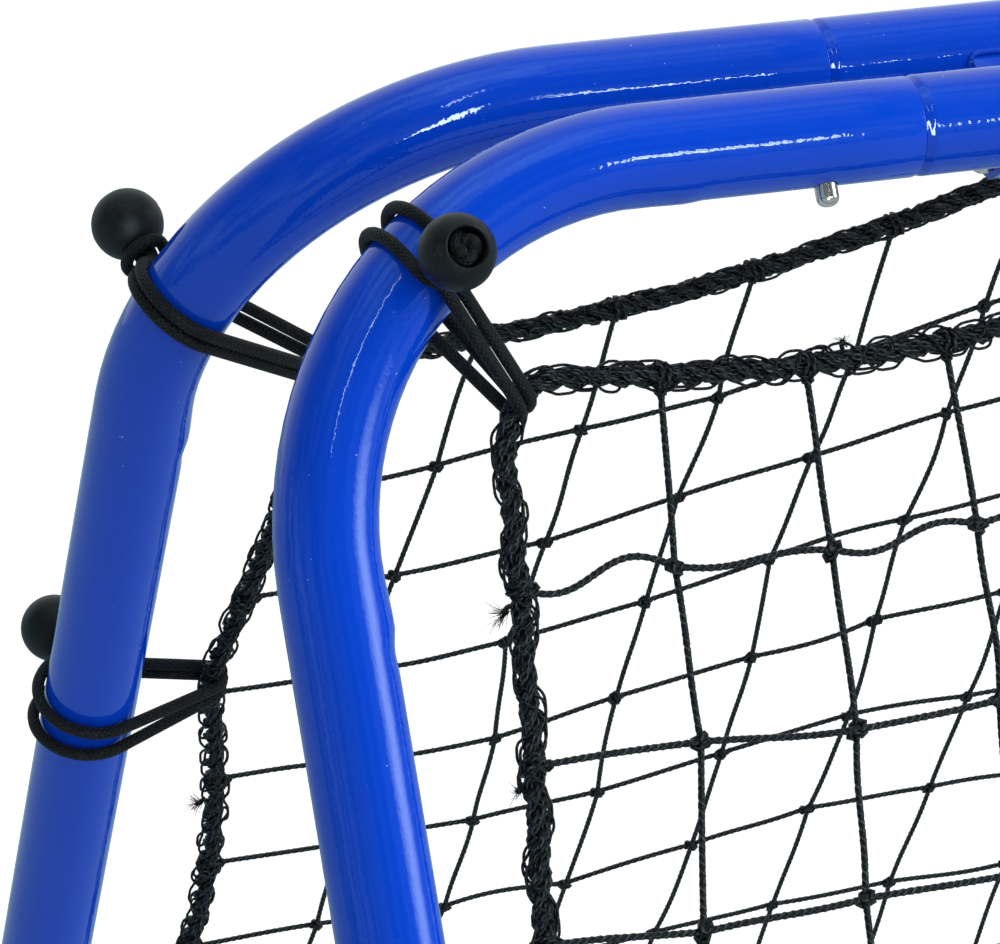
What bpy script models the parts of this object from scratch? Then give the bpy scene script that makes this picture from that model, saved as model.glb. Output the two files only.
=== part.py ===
"""Double-sided soccer rebounder: two leaning tube frames hinged along their top rails, each with a knotted
net hung on a border rope by ball bungees. Metres, +Z up, standing on z = 0, the hinge along X."""

import math

import bmesh
import bpy
from mathutils import Vector

# Overall form
FRAME_WIDTH = 1.219
FRAME_SLANT = 0.965
LEAN = math.radians(28.0)
RAIL_SPACING = 0.0854

# Frame tube
TUBE_D = 0.038
TUBE_WALL = 0.0015
TUBE_SIDES = 12
CORNER_R = 0.1415
CORNER_STEPS = 5
CORNER_LEG = 0.108
TOUCH = 0.0003

# Swaged end of a rail, which slides into a side tube
SPIGOT_LENGTH = 0.060
SHOULDER_LENGTH = 0.004

# Snap button in each joint of the tubes
BUTTON_D = 0.0086
BUTTON_HOLE_D = 0.0094
BUTTON_REACH = 0.0078
BUTTON_FLANGE_D = 0.0116
BUTTON_FLANGE_H = 0.002
BUTTON_FROM_SEAM = 0.036
BUTTON_SIDES = 8
LEAF_THICK = 0.0008
LEAF_WIDTH = 0.009
LEAF_REACH = 0.036

# Hinge between the two top rails
HINGE_FROM_SEAM = 0.067
HINGE_DROP = 0.028
BRACKET_PLATE = 0.003
BRACKET_HALF_WIDTH = 0.0118
BRACKET_END_R = 0.010
BRACKET_WEB_GAP = 0.0005
BOLT_D = 0.008
BOLT_HOLE_D = 0.0086
HEX_ACROSS_CORNERS = 0.015
BOLT_HEAD_H = 0.0053
NUT_H = 0.008
BOLT_PROUD = 0.002

# Net and its border rope
ROPE_D = 0.011
ROPE_SIDES = 6
ROPE_CORNER_R = 0.016
ROPE_TURN = 1.24
TWINE_D = 0.0034
CELLS_ACROSS = 18
CELLS_DOWN = 12
NET_CORNER_IN = 0.0795
NET_CORNER_DOWN = 0.082
LOW_CORNER_DOWN = 0.139
LOW_CORNER_ROW = 0.212
HIGH_CORNER_ROW = 0.1515
TIE_REACH = 0.050
TOP_TIE_X = 0.185
UPPER_TIE_DOWN = 0.3185
LOWER_TIE_DOWN = 0.600
SPAN_STEPS = 4
OUTER_SAG = 0.019
MIDDLE_SAG = 0.026
POST_SAG = 0.018
POST_END_SAG = 0.003

# Ball bungee
CORD_D = 0.005
CORD_GAP = 0.0005
CORD_STEP = math.radians(50)
BIGHT_REACH = 0.008
BIGHT_LIFT = 0.0009
BALL_D = 0.028
BALL_SIDES = 8
BALL_STEPS = 4
BALL_BORE_D = 0.0116
BALL_MOUTH_D = 0.0165
BALL_MOUTH_DEPTH = 0.008
CORNER_TIE_ANGLE = math.radians(51.0)
LOW_TIE_ANGLE = math.radians(22.0)

TUBE_R = TUBE_D / 2
BORE_R = TUBE_R - TUBE_WALL
SPIGOT_R = BORE_R - TOUCH
POST_X = FRAME_WIDTH / 2 - TUBE_R
SLANT = FRAME_SLANT - TUBE_D
SEAM_X = POST_X - CORNER_R - CORNER_LEG
HINGE_X = SEAM_X - HINGE_FROM_SEAM
FLAT_R = TUBE_R * math.cos(math.pi / TUBE_SIDES)
RAIL_Y = RAIL_SPACING / 2
RAIL_Z = SLANT * math.cos(LEAN) + FLAT_R
PIVOT_Z = RAIL_Z - HINGE_DROP
ROPE_R = ROPE_D / 2
CORD_R = CORD_D / 2
BALL_R = BALL_D / 2


def clear_scene():
    for thing in list(bpy.data.objects):
        bpy.data.objects.remove(thing)


def make_material(name, colour, roughness, metallic):
    material = bpy.data.materials.new(name)
    material.use_nodes = True
    shader = material.node_tree.nodes["Principled BSDF"]
    shader.inputs["Base Color"].default_value = (*colour, 1.0)
    shader.inputs["Roughness"].default_value = roughness
    shader.inputs["Metallic"].default_value = metallic
    material.diffuse_color = (*colour, 1.0)
    return material


def make_materials():
    return {
        "paint": make_material("blue_paint", (0.012, 0.065, 0.63), 0.2, 0.0),
        "steel": make_material("bright_steel", (0.62, 0.62, 0.63), 0.3, 1.0),
        "spring": make_material("spring_steel", (0.30, 0.30, 0.32), 0.4, 1.0),
        "ball": make_material("black_plastic", (0.020, 0.021, 0.023), 0.45, 0.0),
        "cord": make_material("black_cord", (0.010, 0.010, 0.011), 0.8, 0.0),
        "twine": make_material("black_twine", (0.012, 0.012, 0.013), 0.5, 0.0),
    }


def make_empty(name, place, turn=(0, 0, 0), parent=None):
    empty = bpy.data.objects.new(name, None)
    empty.empty_display_size = 0.05
    empty.location = place
    empty.rotation_euler = turn
    empty.parent = parent
    bpy.context.scene.collection.objects.link(empty)
    return empty


def make_object(name, mesh, material, parent, place=(0, 0, 0), turn=(0, 0, 0)):
    thing = bpy.data.objects.new(name, mesh)
    thing.location = place
    thing.rotation_euler = turn
    thing.parent = parent
    if material:
        mesh.materials.append(material)
    bpy.context.scene.collection.objects.link(thing)
    return thing


def finish_mesh(name, bm, smooth=True):
    bmesh.ops.recalc_face_normals(bm, faces=bm.faces)
    mesh = bpy.data.meshes.new(name)
    bm.to_mesh(mesh)
    bm.free()
    if smooth:
        mesh.shade_smooth()
        mesh.set_sharp_from_angle(angle=math.radians(40))
    return mesh


def hide_cutter(cutter):
    cutter.hide_render = True
    cutter.display_type = "WIRE"
    return cutter


def cut(thing, cutter):
    boolean = thing.modifiers.new(cutter.name, "BOOLEAN")
    boolean.operation = "DIFFERENCE"
    boolean.solver = "EXACT"
    boolean.object = cutter


def add_ring(bm, centre, outward, across, radius, sides, phase):
    ring = []
    for i in range(sides):
        angle = phase + 2 * math.pi * (i + 0.5) / sides
        ring.append(bm.verts.new(centre + radius * (math.cos(angle) * outward + math.sin(angle) * across)))
    return ring


def join_rings(bm, first, second):
    count = len(first)
    for i in range(count):
        j = (i + 1) % count
        bm.faces.new((first[i], first[j], second[j], second[i]))


def in_plane(x, down):
    """A point of a frame's own plane: x along the rails, down the slope from the top rail's axis."""
    return Vector((x, 0, -down))


# Tubes. Every section has a flat facing the floor once the frame leans.
PLANE_NORMAL = Vector((0, 1, 0))


def tube_mesh(name, stations):
    """Closed hollow tube from (centre, outward direction, outer radius, inner radius) stations."""
    bm = bmesh.new()
    outer = [add_ring(bm, c, o, PLANE_NORMAL, r, TUBE_SIDES, -LEAN) for c, o, r, _ in stations]
    inner = [add_ring(bm, c, o, PLANE_NORMAL, r, TUBE_SIDES, -LEAN) for c, o, _, r in stations]
    for rings in (outer, inner):
        for first, second in zip(rings, rings[1:]):
            join_rings(bm, first, second)
    join_rings(bm, outer[0], inner[0])
    join_rings(bm, outer[-1], inner[-1])
    return finish_mesh(name, bm)


def side_tube_stations(side):
    """From the top seam round the upper corner, down the post and round to the bottom seam."""
    stations = [(in_plane(side * SEAM_X, 0), Vector((0, 0, 1)))]
    corner_x = side * (POST_X - CORNER_R)
    for centre_down, start in ((CORNER_R, 90), (SLANT - CORNER_R, 0)):
        for step in range(CORNER_STEPS + 1):
            angle = math.radians(start - 90 * step / CORNER_STEPS)
            outward = Vector((side * math.cos(angle), 0, math.sin(angle)))
            stations.append((in_plane(corner_x, centre_down) + CORNER_R * outward, outward))
    stations.append((in_plane(side * SEAM_X, SLANT), Vector((0, 0, -1))))
    return [(centre, outward, TUBE_R, BORE_R) for centre, outward in stations]


def rail_stations(down, outward):
    """Straight rail with a swaged spigot at each end, which a side tube slides over."""
    shoulder = SEAM_X - TOUCH
    half = [
        (SEAM_X + SPIGOT_LENGTH, SPIGOT_R, SPIGOT_R - TUBE_WALL),
        (shoulder, SPIGOT_R, SPIGOT_R - TUBE_WALL),
        (shoulder - SHOULDER_LENGTH, TUBE_R, BORE_R),
    ]
    ends = [(-x, r, b) for x, r, b in half] + list(reversed(half))
    return [(in_plane(x, down), outward, r, b) for x, r, b in ends]


def turned_mesh(name, profile, sides):
    """Solid turned about local Z from (radius, height) points; points on the axis close it."""
    bm = bmesh.new()
    across = Vector((0, 1, 0))
    rings = []
    for radius, height in profile:
        centre = Vector((0, 0, height))
        if radius == 0:
            rings.append(bm.verts.new(centre))
        else:
            rings.append(add_ring(bm, centre, Vector((1, 0, 0)), across, radius, sides, 0))
    closed = profile[0][0] > 0
    pairs = list(zip(rings, rings[1:])) + ([(rings[-1], rings[0])] if closed else [])
    for first, second in pairs:
        if isinstance(first, list) and isinstance(second, list):
            join_rings(bm, first, second)
            continue
        tip, ring = (first, second) if isinstance(second, list) else (second, first)
        for i in range(sides):
            bm.faces.new((tip, ring[i], ring[(i + 1) % sides]))
    return finish_mesh(name, bm)


def button_profile():
    """Flanged pin with a domed tip. Height 0 is the tube's surface."""
    pin_r = BUTTON_D / 2
    flange_top = SPIGOT_R - TUBE_WALL - BUTTON_FLANGE_H - TUBE_R
    dome = pin_r * 0.7
    return [
        (0, flange_top - BUTTON_FLANGE_H),
        (BUTTON_FLANGE_D / 2, flange_top - BUTTON_FLANGE_H),
        (BUTTON_FLANGE_D / 2, flange_top),
        (pin_r, flange_top),
        (pin_r, BUTTON_REACH - dome),
        (pin_r * 0.72, BUTTON_REACH - dome * 0.3),
        (0, BUTTON_REACH),
    ]


def leaf_mesh(name):
    """V spring inside the spigot: one arm carries the pin, the other presses on the far wall."""
    top = -TUBE_R + SPIGOT_R - TUBE_WALL - 2 * BUTTON_FLANGE_H - TOUCH
    far = -TUBE_R - (SPIGOT_R - TUBE_WALL) * math.cos(math.pi / TUBE_SIDES) + TOUCH
    tail = BUTTON_FLANGE_D * 0.7
    middle = (top + far) / 2
    outside = [
        (-tail, top),
        (tail, top),
        (LEAF_REACH, middle + 0.003),
        (LEAF_REACH, middle - 0.003),
        (-tail, far),
    ]
    inside = [
        (-tail, far + LEAF_THICK),
        (LEAF_REACH - LEAF_THICK, middle - 0.0024),
        (LEAF_REACH - LEAF_THICK, middle + 0.0024),
        (tail, top - LEAF_THICK),
        (-tail, top - LEAF_THICK),
    ]
    return extruded_mesh(name, [(x, z) for x, z in outside + inside], LEAF_WIDTH, smooth=False)


def extruded_mesh(name, outline, width, smooth=True):
    """Outline in local X and Z, extruded across local Y and centred on it."""
    bm = bmesh.new()
    face = bm.faces.new([bm.verts.new((x, -width / 2, z)) for x, z in outline])
    grown = bmesh.ops.extrude_face_region(bm, geom=[face])
    moved = [item for item in grown["geom"] if isinstance(item, bmesh.types.BMVert)]
    bmesh.ops.translate(bm, verts=moved, vec=(0, width, 0))
    bmesh.ops.triangulate(bm, faces=[f for f in bm.faces if len(f.verts) > 4])
    return finish_mesh(name, bm, smooth)


def build_joint(panel, prefix, level, side, tube, rail, materials):
    """Snap button, its leaf spring and the hole through both walls, where a rail meets a side tube."""
    down = 0 if level == "top" else SLANT
    tip_up = level == "bottom"
    surface = TUBE_R if tip_up else -TUBE_R
    place = in_plane(side * (SEAM_X + BUTTON_FROM_SEAM), down) + Vector((0, 0, surface))
    turn = (0, 0 if tip_up else math.pi, 0)
    word = f"{prefix}_{level}_{'left' if side < 0 else 'right'}"
    hole = [(0, -TUBE_R), (BUTTON_HOLE_D / 2, -TUBE_R), (BUTTON_HOLE_D / 2, TUBE_R), (0, TUBE_R)]
    cutter = make_object(f"hole_{word}", turned_mesh("hole", hole, BUTTON_SIDES), None, panel, place, turn)
    hide_cutter(cutter)
    cut(tube, cutter)
    cut(rail, cutter)
    button = turned_mesh("button", button_profile(), BUTTON_SIDES)
    make_object(f"snap_button_{word}", button, materials["steel"], panel, place, turn)
    inward = -side if tip_up else side
    leaf_turn = (0, turn[1], 0 if inward > 0 else math.pi)
    make_object(f"button_spring_{word}", leaf_mesh("leaf"), materials["spring"], panel, place, leaf_turn)


# Border rope and net, drawn in a frame's own plane. The left upper corner hangs lower than the right.
def corner_point(side, level):
    if level == "bottom":
        return Vector((side * (POST_X - NET_CORNER_IN), SLANT - NET_CORNER_DOWN))
    down = LOW_CORNER_DOWN if side < 0 else NET_CORNER_DOWN
    return Vector((side * (POST_X - NET_CORNER_IN), down))


def sagging_span(start, end, sag, steps):
    """Points from start up to end along a shallow parabola pulled aside by the vector sag."""
    points = []
    for step in range(steps):
        t = step / steps
        points.append(start.lerp(end, t) + 4 * t * (1 - t) * sag)
    return points


def rope_side_points(side):
    upper = Vector((side * (POST_X - TIE_REACH), UPPER_TIE_DOWN))
    lower = Vector((side * (POST_X - TIE_REACH), LOWER_TIE_DOWN))
    top = corner_point(side, "top") + Vector((side * ROPE_CORNER_R * 0.41, ROPE_CORNER_R * 0.59))
    bottom = corner_point(side, "bottom") + Vector((side * ROPE_CORNER_R * 0.41, -ROPE_CORNER_R * 0.59))
    inward = Vector((-side, 0))
    points = sagging_span(top, upper, POST_END_SAG * inward, SPAN_STEPS - 2)
    points += sagging_span(upper, lower, POST_SAG * inward, SPAN_STEPS)
    points += sagging_span(lower, bottom, POST_END_SAG * inward, SPAN_STEPS - 2)
    return points + [bottom]


def rope_level_points(level):
    """Left to right along the top or the bottom."""
    sign = 1 if level == "top" else -1
    edge = 0 if level == "top" else SLANT
    inward = Vector((0, sign))
    ties = [Vector((side * TOP_TIE_X, edge + sign * TIE_REACH)) for side in (-1, 1)]
    ends = []
    for side in (-1, 1):
        shift = Vector((-side * ROPE_CORNER_R * 0.59, -sign * ROPE_CORNER_R * 0.41))
        ends.append(corner_point(side, level) + shift)
    points = sagging_span(ends[0], ties[0], OUTER_SAG * inward, SPAN_STEPS)
    points += sagging_span(ties[0], ties[1], MIDDLE_SAG * inward, SPAN_STEPS)
    points += sagging_span(ties[1], ends[1], OUTER_SAG * inward, SPAN_STEPS)
    return points + [ends[1]]


def rope_loop_points():
    """Closed round from the left upper corner: along the top, down, back and up."""
    left = rope_side_points(-1)
    right = rope_side_points(1)
    top = rope_level_points("top")
    bottom = rope_level_points("bottom")
    loop = [corner_point(-1, "top")] + top + [corner_point(1, "top")] + right
    loop += [corner_point(1, "bottom")] + bottom[::-1] + [corner_point(-1, "bottom")] + left[::-1]
    return loop


def rope_mesh(name):
    bm = bmesh.new()
    loop = rope_loop_points()
    rings = []
    for i, point in enumerate(loop):
        before = (point - loop[i - 1]).normalized()
        after = (loop[(i + 1) % len(loop)] - point).normalized()
        along = (before + after).normalized()
        stretch = 1 / max(0.7, along.dot(after))
        outward = Vector((along.y, 0, along.x)) * stretch
        rings.append(add_ring(bm, in_plane(*point), outward, PLANE_NORMAL, ROPE_R, ROPE_SIDES, 0))
    for first, second in zip(rings, rings[1:] + rings[:1]):
        join_rings(bm, first, second)
    return finish_mesh(name, bm)


def on_line(points, axis, value):
    """The point of a drawn line whose coordinate along the axis has this value."""
    for first, second in zip(points, points[1:]):
        low, high = sorted((first[axis], second[axis]))
        if low <= value <= high and high > low:
            return first.lerp(second, (value - first[axis]) / (second[axis] - first[axis]))
    raise ValueError(f"{value} is off the line")


def net_node(i, k, lines):
    """Crossing i across and k down, blended from the four border lines."""
    s = i / CELLS_ACROSS
    t = k / CELLS_DOWN
    point = (1 - t) * lines["top"][i] + t * lines["bottom"][i]
    point += (1 - s) * lines["left"][k] + s * lines["right"][k]
    for side, across in ((-1, 1 - s), (1, s)):
        for level, down in (("top", 1 - t), ("bottom", t)):
            point -= across * down * corner_point(side, level)
    return point


def border_lines():
    """Where each twine meets the border rope."""
    lines = {}
    for level in ("top", "bottom"):
        drawn = rope_level_points(level)
        ends = [corner_point(side, level) for side in (-1, 1)]
        lines[level] = [ends[0].copy()]
        for i in range(1, CELLS_ACROSS):
            x = ends[0].x + (ends[1].x - ends[0].x) * i / CELLS_ACROSS
            lines[level].append(on_line(drawn, 0, x))
        lines[level].append(ends[1].copy())
    for side, name in ((-1, "left"), (1, "right")):
        drawn = rope_side_points(side)
        top = corner_point(side, "top")
        bottom = corner_point(side, "bottom")
        first = LOW_CORNER_ROW if side < 0 else HIGH_CORNER_ROW
        lines[name] = [top]
        for k in range(1, CELLS_DOWN):
            down = first + (bottom.y - first) * (k - 1) / (CELLS_DOWN - 1)
            lines[name].append(on_line(drawn, 1, down))
        lines[name].append(bottom)
    return lines


def net_mesh(name):
    """One body of crossing twines of four-sided section; their ends stop at the border rope."""
    bm = bmesh.new()
    half = TWINE_D / 2
    lines = border_lines()
    node = {}
    place = {}
    for i in range(CELLS_ACROSS + 1):
        for k in range(CELLS_DOWN + 1):
            place[i, k] = net_node(i, k, lines)
    for i in range(1, CELLS_ACROSS):
        for k in range(1, CELLS_DOWN):
            centre = in_plane(*place[i, k])
            corners = {}
            for a in (-1, 1):
                corners[a] = bm.verts.new(centre + a * half * PLANE_NORMAL)
                for b in (-1, 1):
                    corners[a, b] = bm.verts.new(centre + half * Vector((a, 0, -b)))
            node[i, k] = corners

    def strand(start, end):
        """Four long faces between two ends, each given as (left, right, front, back) vertices."""
        for a, b in ((0, 2), (2, 1), (1, 3), (3, 0)):
            bm.faces.new((start[a], start[b], end[b], end[a]))

    def node_end(key, axis, sign):
        corners = node[key]
        left = (sign, -1) if axis == 0 else (-1, sign)
        right = (sign, 1) if axis == 0 else (1, sign)
        return corners[left], corners[right], corners[1], corners[-1]

    def rope_end(inner, border, axis):
        direction = (place[inner] - place[border]).normalized()
        i, k = border
        beside = ((i, k - 1), (i, k + 1)) if axis == 0 else ((i - 1, k), (i + 1, k))
        rope = (place[beside[1]] - place[beside[0]]).normalized()
        square = abs(direction.cross(rope))
        slant = abs(direction.dot(rope))
        stop = place[border] + direction * (ROPE_R + TOUCH + half * slant) / square
        centre = in_plane(*stop)
        aside = Vector((0, 0, 1)) if axis == 0 else Vector((-1, 0, 0))
        offsets = (aside, -aside, PLANE_NORMAL, -PLANE_NORMAL)
        end = [bm.verts.new(centre + half * offset) for offset in offsets]
        bm.faces.new((end[0], end[2], end[1], end[3]))
        return end

    for axis, across, along in ((0, CELLS_DOWN, CELLS_ACROSS), (1, CELLS_ACROSS, CELLS_DOWN)):
        for line in range(1, across):
            for step in range(along):
                first = (step, line) if axis == 0 else (line, step)
                last = (step + 1, line) if axis == 0 else (line, step + 1)
                start = node_end(first, axis, 1) if first in node else rope_end(last, first, axis)
                end = node_end(last, axis, -1) if last in node else rope_end(first, last, axis)
                strand(start, end)
    return finish_mesh(name, bm, smooth=False)


# Ball bungees. Each is one cord, doubled round the tube and the rope and looped under its ball.
def cord_route(tube_point, tangent, net_point, ball_angle, way, spread, droop):
    """Centre line of the cord, closed at its knot, the ball's place and its axis, in the frame's own axes.

    The ball's angle is counted from the net, round the face on the side of way. The ball and the loop
    under it hang lower than the rest of the ring by the droop.
    """
    face = way * PLANE_NORMAL
    low = droop if tangent.y > 0 else -droop
    toward = (net_point - tube_point).normalized()
    reach = (net_point - tube_point).length
    radial = toward - tangent * toward.dot(tangent)
    skew = 1 / radial.length
    ring_r = TUBE_R + CORD_R + 2 * TOUCH
    rope_r = ROPE_R * ROPE_TURN + CORD_R + TOUCH
    strand = (CORD_R + CORD_GAP / 2) * skew
    tie = math.acos((ring_r - rope_r) / reach)
    e = Vector((toward.x, 0, -toward.y))
    along = Vector((tangent.x, 0, -tangent.y))
    tube_centre = in_plane(*tube_point)
    rope_centre = in_plane(*net_point)
    skewed = math.hypot(skew * math.cos(ball_angle), math.sin(ball_angle))
    out = skewed * (math.cos(ball_angle) * e + math.sin(ball_angle) * face)
    turn = -math.sin(ball_angle) * e + math.cos(ball_angle) * face
    turn = (turn - along * turn.dot(along)).normalized()
    loop_r = ring_r + CORD_D + 3 * CORD_GAP
    neck_r = ring_r + 0.001
    ball_r = ball_distance()
    loop_side = (3 * CORD_R + 3.5 * CORD_GAP) * skew
    first = (strand + spread) / 2
    begin = max(ball_angle - 0.19, tie + 0.02)
    end = min(ball_angle - 2 * math.pi + 0.45, -tie - 0.05)
    low_here = low * max(0, 1 - (begin - tie) / (math.pi / 2))
    low_there = low * max(0.5, 1 + (end + tie) / (math.pi / 2))

    def round_tube(angle, radius, aside):
        offset = radius * (skew * math.cos(angle) * e + math.sin(angle) * face)
        return tube_centre + offset + aside * along

    def round_rope(angle, aside):
        radius = rope_r / math.cos(tie / 4)
        return rope_centre + radius * (math.cos(angle) * e + math.sin(angle) * face) + aside * along

    def arc(start, end, first_aside, last_aside):
        count = max(1, math.ceil(abs(end - start) / CORD_STEP))
        radius = ring_r / math.cos(abs(end - start) / count / 2)
        points = []
        for step in range(count + 1):
            t = step / count
            aside = first_aside + t * (last_aside - first_aside)
            points.append(round_tube(start + t * (end - start), radius, aside))
        return points

    def neck(radius, aside, forward):
        return tube_centre + radius * out + (aside + low) * along + forward * turn

    def half(hand):
        """One of the two strands, from the knot to the loop under the ball."""
        points = [neck(ball_r + 0.0035, hand * strand, 0), neck(neck_r, hand * strand, 0)]
        points += arc(begin, tie, hand * strand + low, hand * strand + low_here)
        points += [round_rope(angle, hand * strand) for angle in (tie / 2, 0, -tie / 2)]
        points += arc(-tie, end, hand * first + low_there, hand * spread + low)
        points.append(neck(loop_r, hand * loop_side, 0))
        points.append(neck(loop_r + BIGHT_LIFT / 3, hand * loop_side * 0.62, -BIGHT_REACH * 0.72))
        return points

    knot = neck(ball_r + 0.0035 + strand, 0, 0)
    bend = neck(loop_r + BIGHT_LIFT, 0, -BIGHT_REACH)
    return half(1) + [bend] + half(-1)[::-1] + [knot], neck(ball_r, 0, 0), out


def ball_distance():
    """From the tube's axis to the ball's centre, just clear of the loop under it."""
    loop_top = TUBE_R + 3 * TOUCH + 2 * CORD_D + 3 * CORD_GAP
    return loop_top + math.sqrt(BALL_R**2 - CORD_D**2)


def ball_profile():
    """From the cord's hole, round the outside, into the mouth that holds the knot and back down the bore."""
    bore = BALL_BORE_D / 2
    mouth = BALL_MOUTH_D / 2
    start = math.asin(bore / BALL_R) - math.pi / 2
    end = math.pi / 2 - math.asin(mouth / BALL_R)
    profile = []
    for step in range(BALL_STEPS + 1):
        angle = start + (end - start) * step / BALL_STEPS
        profile.append((BALL_R * math.cos(angle), BALL_R * math.sin(angle)))
    floor = BALL_R * math.sin(end) - BALL_MOUTH_DEPTH
    return profile + [(mouth, floor), (bore, floor)]


def least_gap(route):
    """Least distance between two stretches of the cord that aren't neighbours, less its diameter."""
    count = len(route)
    best = 1.0
    for i in range(count):
        for j in range(i + 3, count):
            if (i - j) % count < 3 or (j - i) % count < 3:
                continue
            for t in (0.0, 0.25, 0.5, 0.75):
                first = route[i].lerp(route[(i + 1) % count], t)
                for u in (0.0, 0.25, 0.5, 0.75):
                    second = route[j].lerp(route[(j + 1) % count], u)
                    best = min(best, (first - second).length)
    return best - CORD_D


def build_bungee(panel, word, materials, tie):
    route, place, out = cord_route(*tie)
    print(f"bungee_cord_{word}: least gap to itself {1000 * least_gap(route):.2f} mm")
    curve = bpy.data.curves.new("cord", "CURVE")
    curve.dimensions = "3D"
    curve.bevel_depth = CORD_R
    curve.bevel_resolution = 1
    spline = curve.splines.new("POLY")
    spline.points.add(len(route) - 1)
    for point, place in zip(spline.points, route):
        point.co = (*place, 1)
    spline.use_cyclic_u = True
    make_object(f"bungee_cord_{word}", curve, materials["cord"], panel)
    turn = out.to_track_quat("Z", "Y").to_euler()
    ball = turned_mesh("ball", ball_profile(), BALL_SIDES)
    make_object(f"bungee_ball_{word}", ball, materials["ball"], panel, place, turn)


def corner_tie(side, level, angle):
    """Point on a corner's tube axis and the tube's direction there; the angle is from the post's level."""
    centre_down = CORNER_R if level == "top" else SLANT - CORNER_R
    sign = -1 if level == "top" else 1
    spoke = Vector((side * math.cos(angle), sign * math.sin(angle)))
    chord = CORNER_R * math.cos(math.pi / (4 * CORNER_STEPS))
    point = Vector((side * (POST_X - CORNER_R), centre_down)) + spoke * (CORNER_R + chord) / 2
    return point, Vector((-spoke.y, spoke.x))


def build_bungees(panel, prefix, materials):
    low_tie = (*corner_tie(-1, "top", LOW_TIE_ANGLE), corner_point(-1, "top"))
    high_tie = (*corner_tie(1, "top", CORNER_TIE_ANGLE), corner_point(1, "top"))
    ties = [
        ("top_left", (*low_tie, math.radians(255), -1, 0.004, 0.0075)),
        ("top_right", (*high_tie, math.radians(88), 1, 0.0075, 0.003)),
    ]
    for side, word in ((-1, "bottom_left"), (1, "bottom_right")):
        tie = (*corner_tie(side, "bottom", CORNER_TIE_ANGLE), corner_point(side, "bottom"))
        ties.append((word, (*tie, math.radians(120), 1, 0.007, 0.003)))
    for side, word in ((-1, "post_left"), (1, "post_right")):
        point = Vector((side * POST_X, UPPER_TIE_DOWN))
        net_point = Vector((side * (POST_X - TIE_REACH), UPPER_TIE_DOWN))
        ties.append((word, (point, Vector((0, 1)), net_point, math.radians(93), 1, 0.0095, 0.006)))
    for word, tie in ties:
        build_bungee(panel, f"{prefix}_{word}", materials, tie)


def build_panel(panel, prefix, materials):
    """One complete side of the rebounder in the axes of its empty."""
    rails = {}
    for level, down, outward in (("top", 0, Vector((0, 0, 1))), ("bottom", SLANT, Vector((0, 0, -1)))):
        mesh = tube_mesh("rail", rail_stations(down, outward))
        rails[level] = make_object(f"{prefix}_{level}_rail", mesh, materials["paint"], panel)
    for side, word in ((-1, "left"), (1, "right")):
        mesh = tube_mesh("side_tube", side_tube_stations(side))
        tube = make_object(f"{prefix}_side_tube_{word}", mesh, materials["paint"], panel)
        for level in ("top", "bottom"):
            build_joint(panel, prefix, level, side, tube, rails[level], materials)
    make_object(f"{prefix}_border_rope", rope_mesh("rope"), materials["twine"], panel)
    make_object(f"{prefix}_net", net_mesh("net"), materials["twine"], panel)
    build_bungees(panel, prefix, materials)


# Hinge brackets, in the plane across the rails, with the pivot at their origin
def bracket_outline(sign):
    """Side view of a bracket that reaches from its rail to the pivot; sign is the rail's side."""
    reach = math.hypot(RAIL_Y, HINGE_DROP)
    along = Vector((sign * RAIL_Y, HINGE_DROP)) / reach
    above = Vector((-sign * along.y, sign * along.x))
    web = BRACKET_END_R + BRACKET_WEB_GAP + BRACKET_PLATE
    root = reach - TUBE_R / 2
    points = [along * root - above * BRACKET_END_R]
    steps = 8
    start = math.atan2(-above.y, -above.x)
    sweep = math.pi + math.acos(above.y)
    for step in range(steps + 1):
        angle = start - sign * sweep * step / steps
        points.append(BRACKET_END_R * Vector((math.cos(angle), math.sin(angle))))
    stop_y = sign * TOUCH / 2
    points[-1].x = stop_y
    slide = (stop_y - web * above.x) / along.x
    points.append(Vector((stop_y, web * above.y + slide * along.y)))
    points.append(along * root + above * web)
    return points, along, above


def across_mesh(name, outline, half_width):
    """Outline in Y and Z, extruded along X and centred on it."""
    bm = bmesh.new()
    face = bm.faces.new([bm.verts.new((-half_width, y, z)) for y, z in outline])
    grown = bmesh.ops.extrude_face_region(bm, geom=[face])
    moved = [item for item in grown["geom"] if isinstance(item, bmesh.types.BMVert)]
    bmesh.ops.translate(bm, verts=moved, vec=(2 * half_width, 0, 0))
    bmesh.ops.triangulate(bm, faces=[f for f in bm.faces if len(f.verts) > 4])
    return finish_mesh(name, bm, smooth=False)


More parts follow.
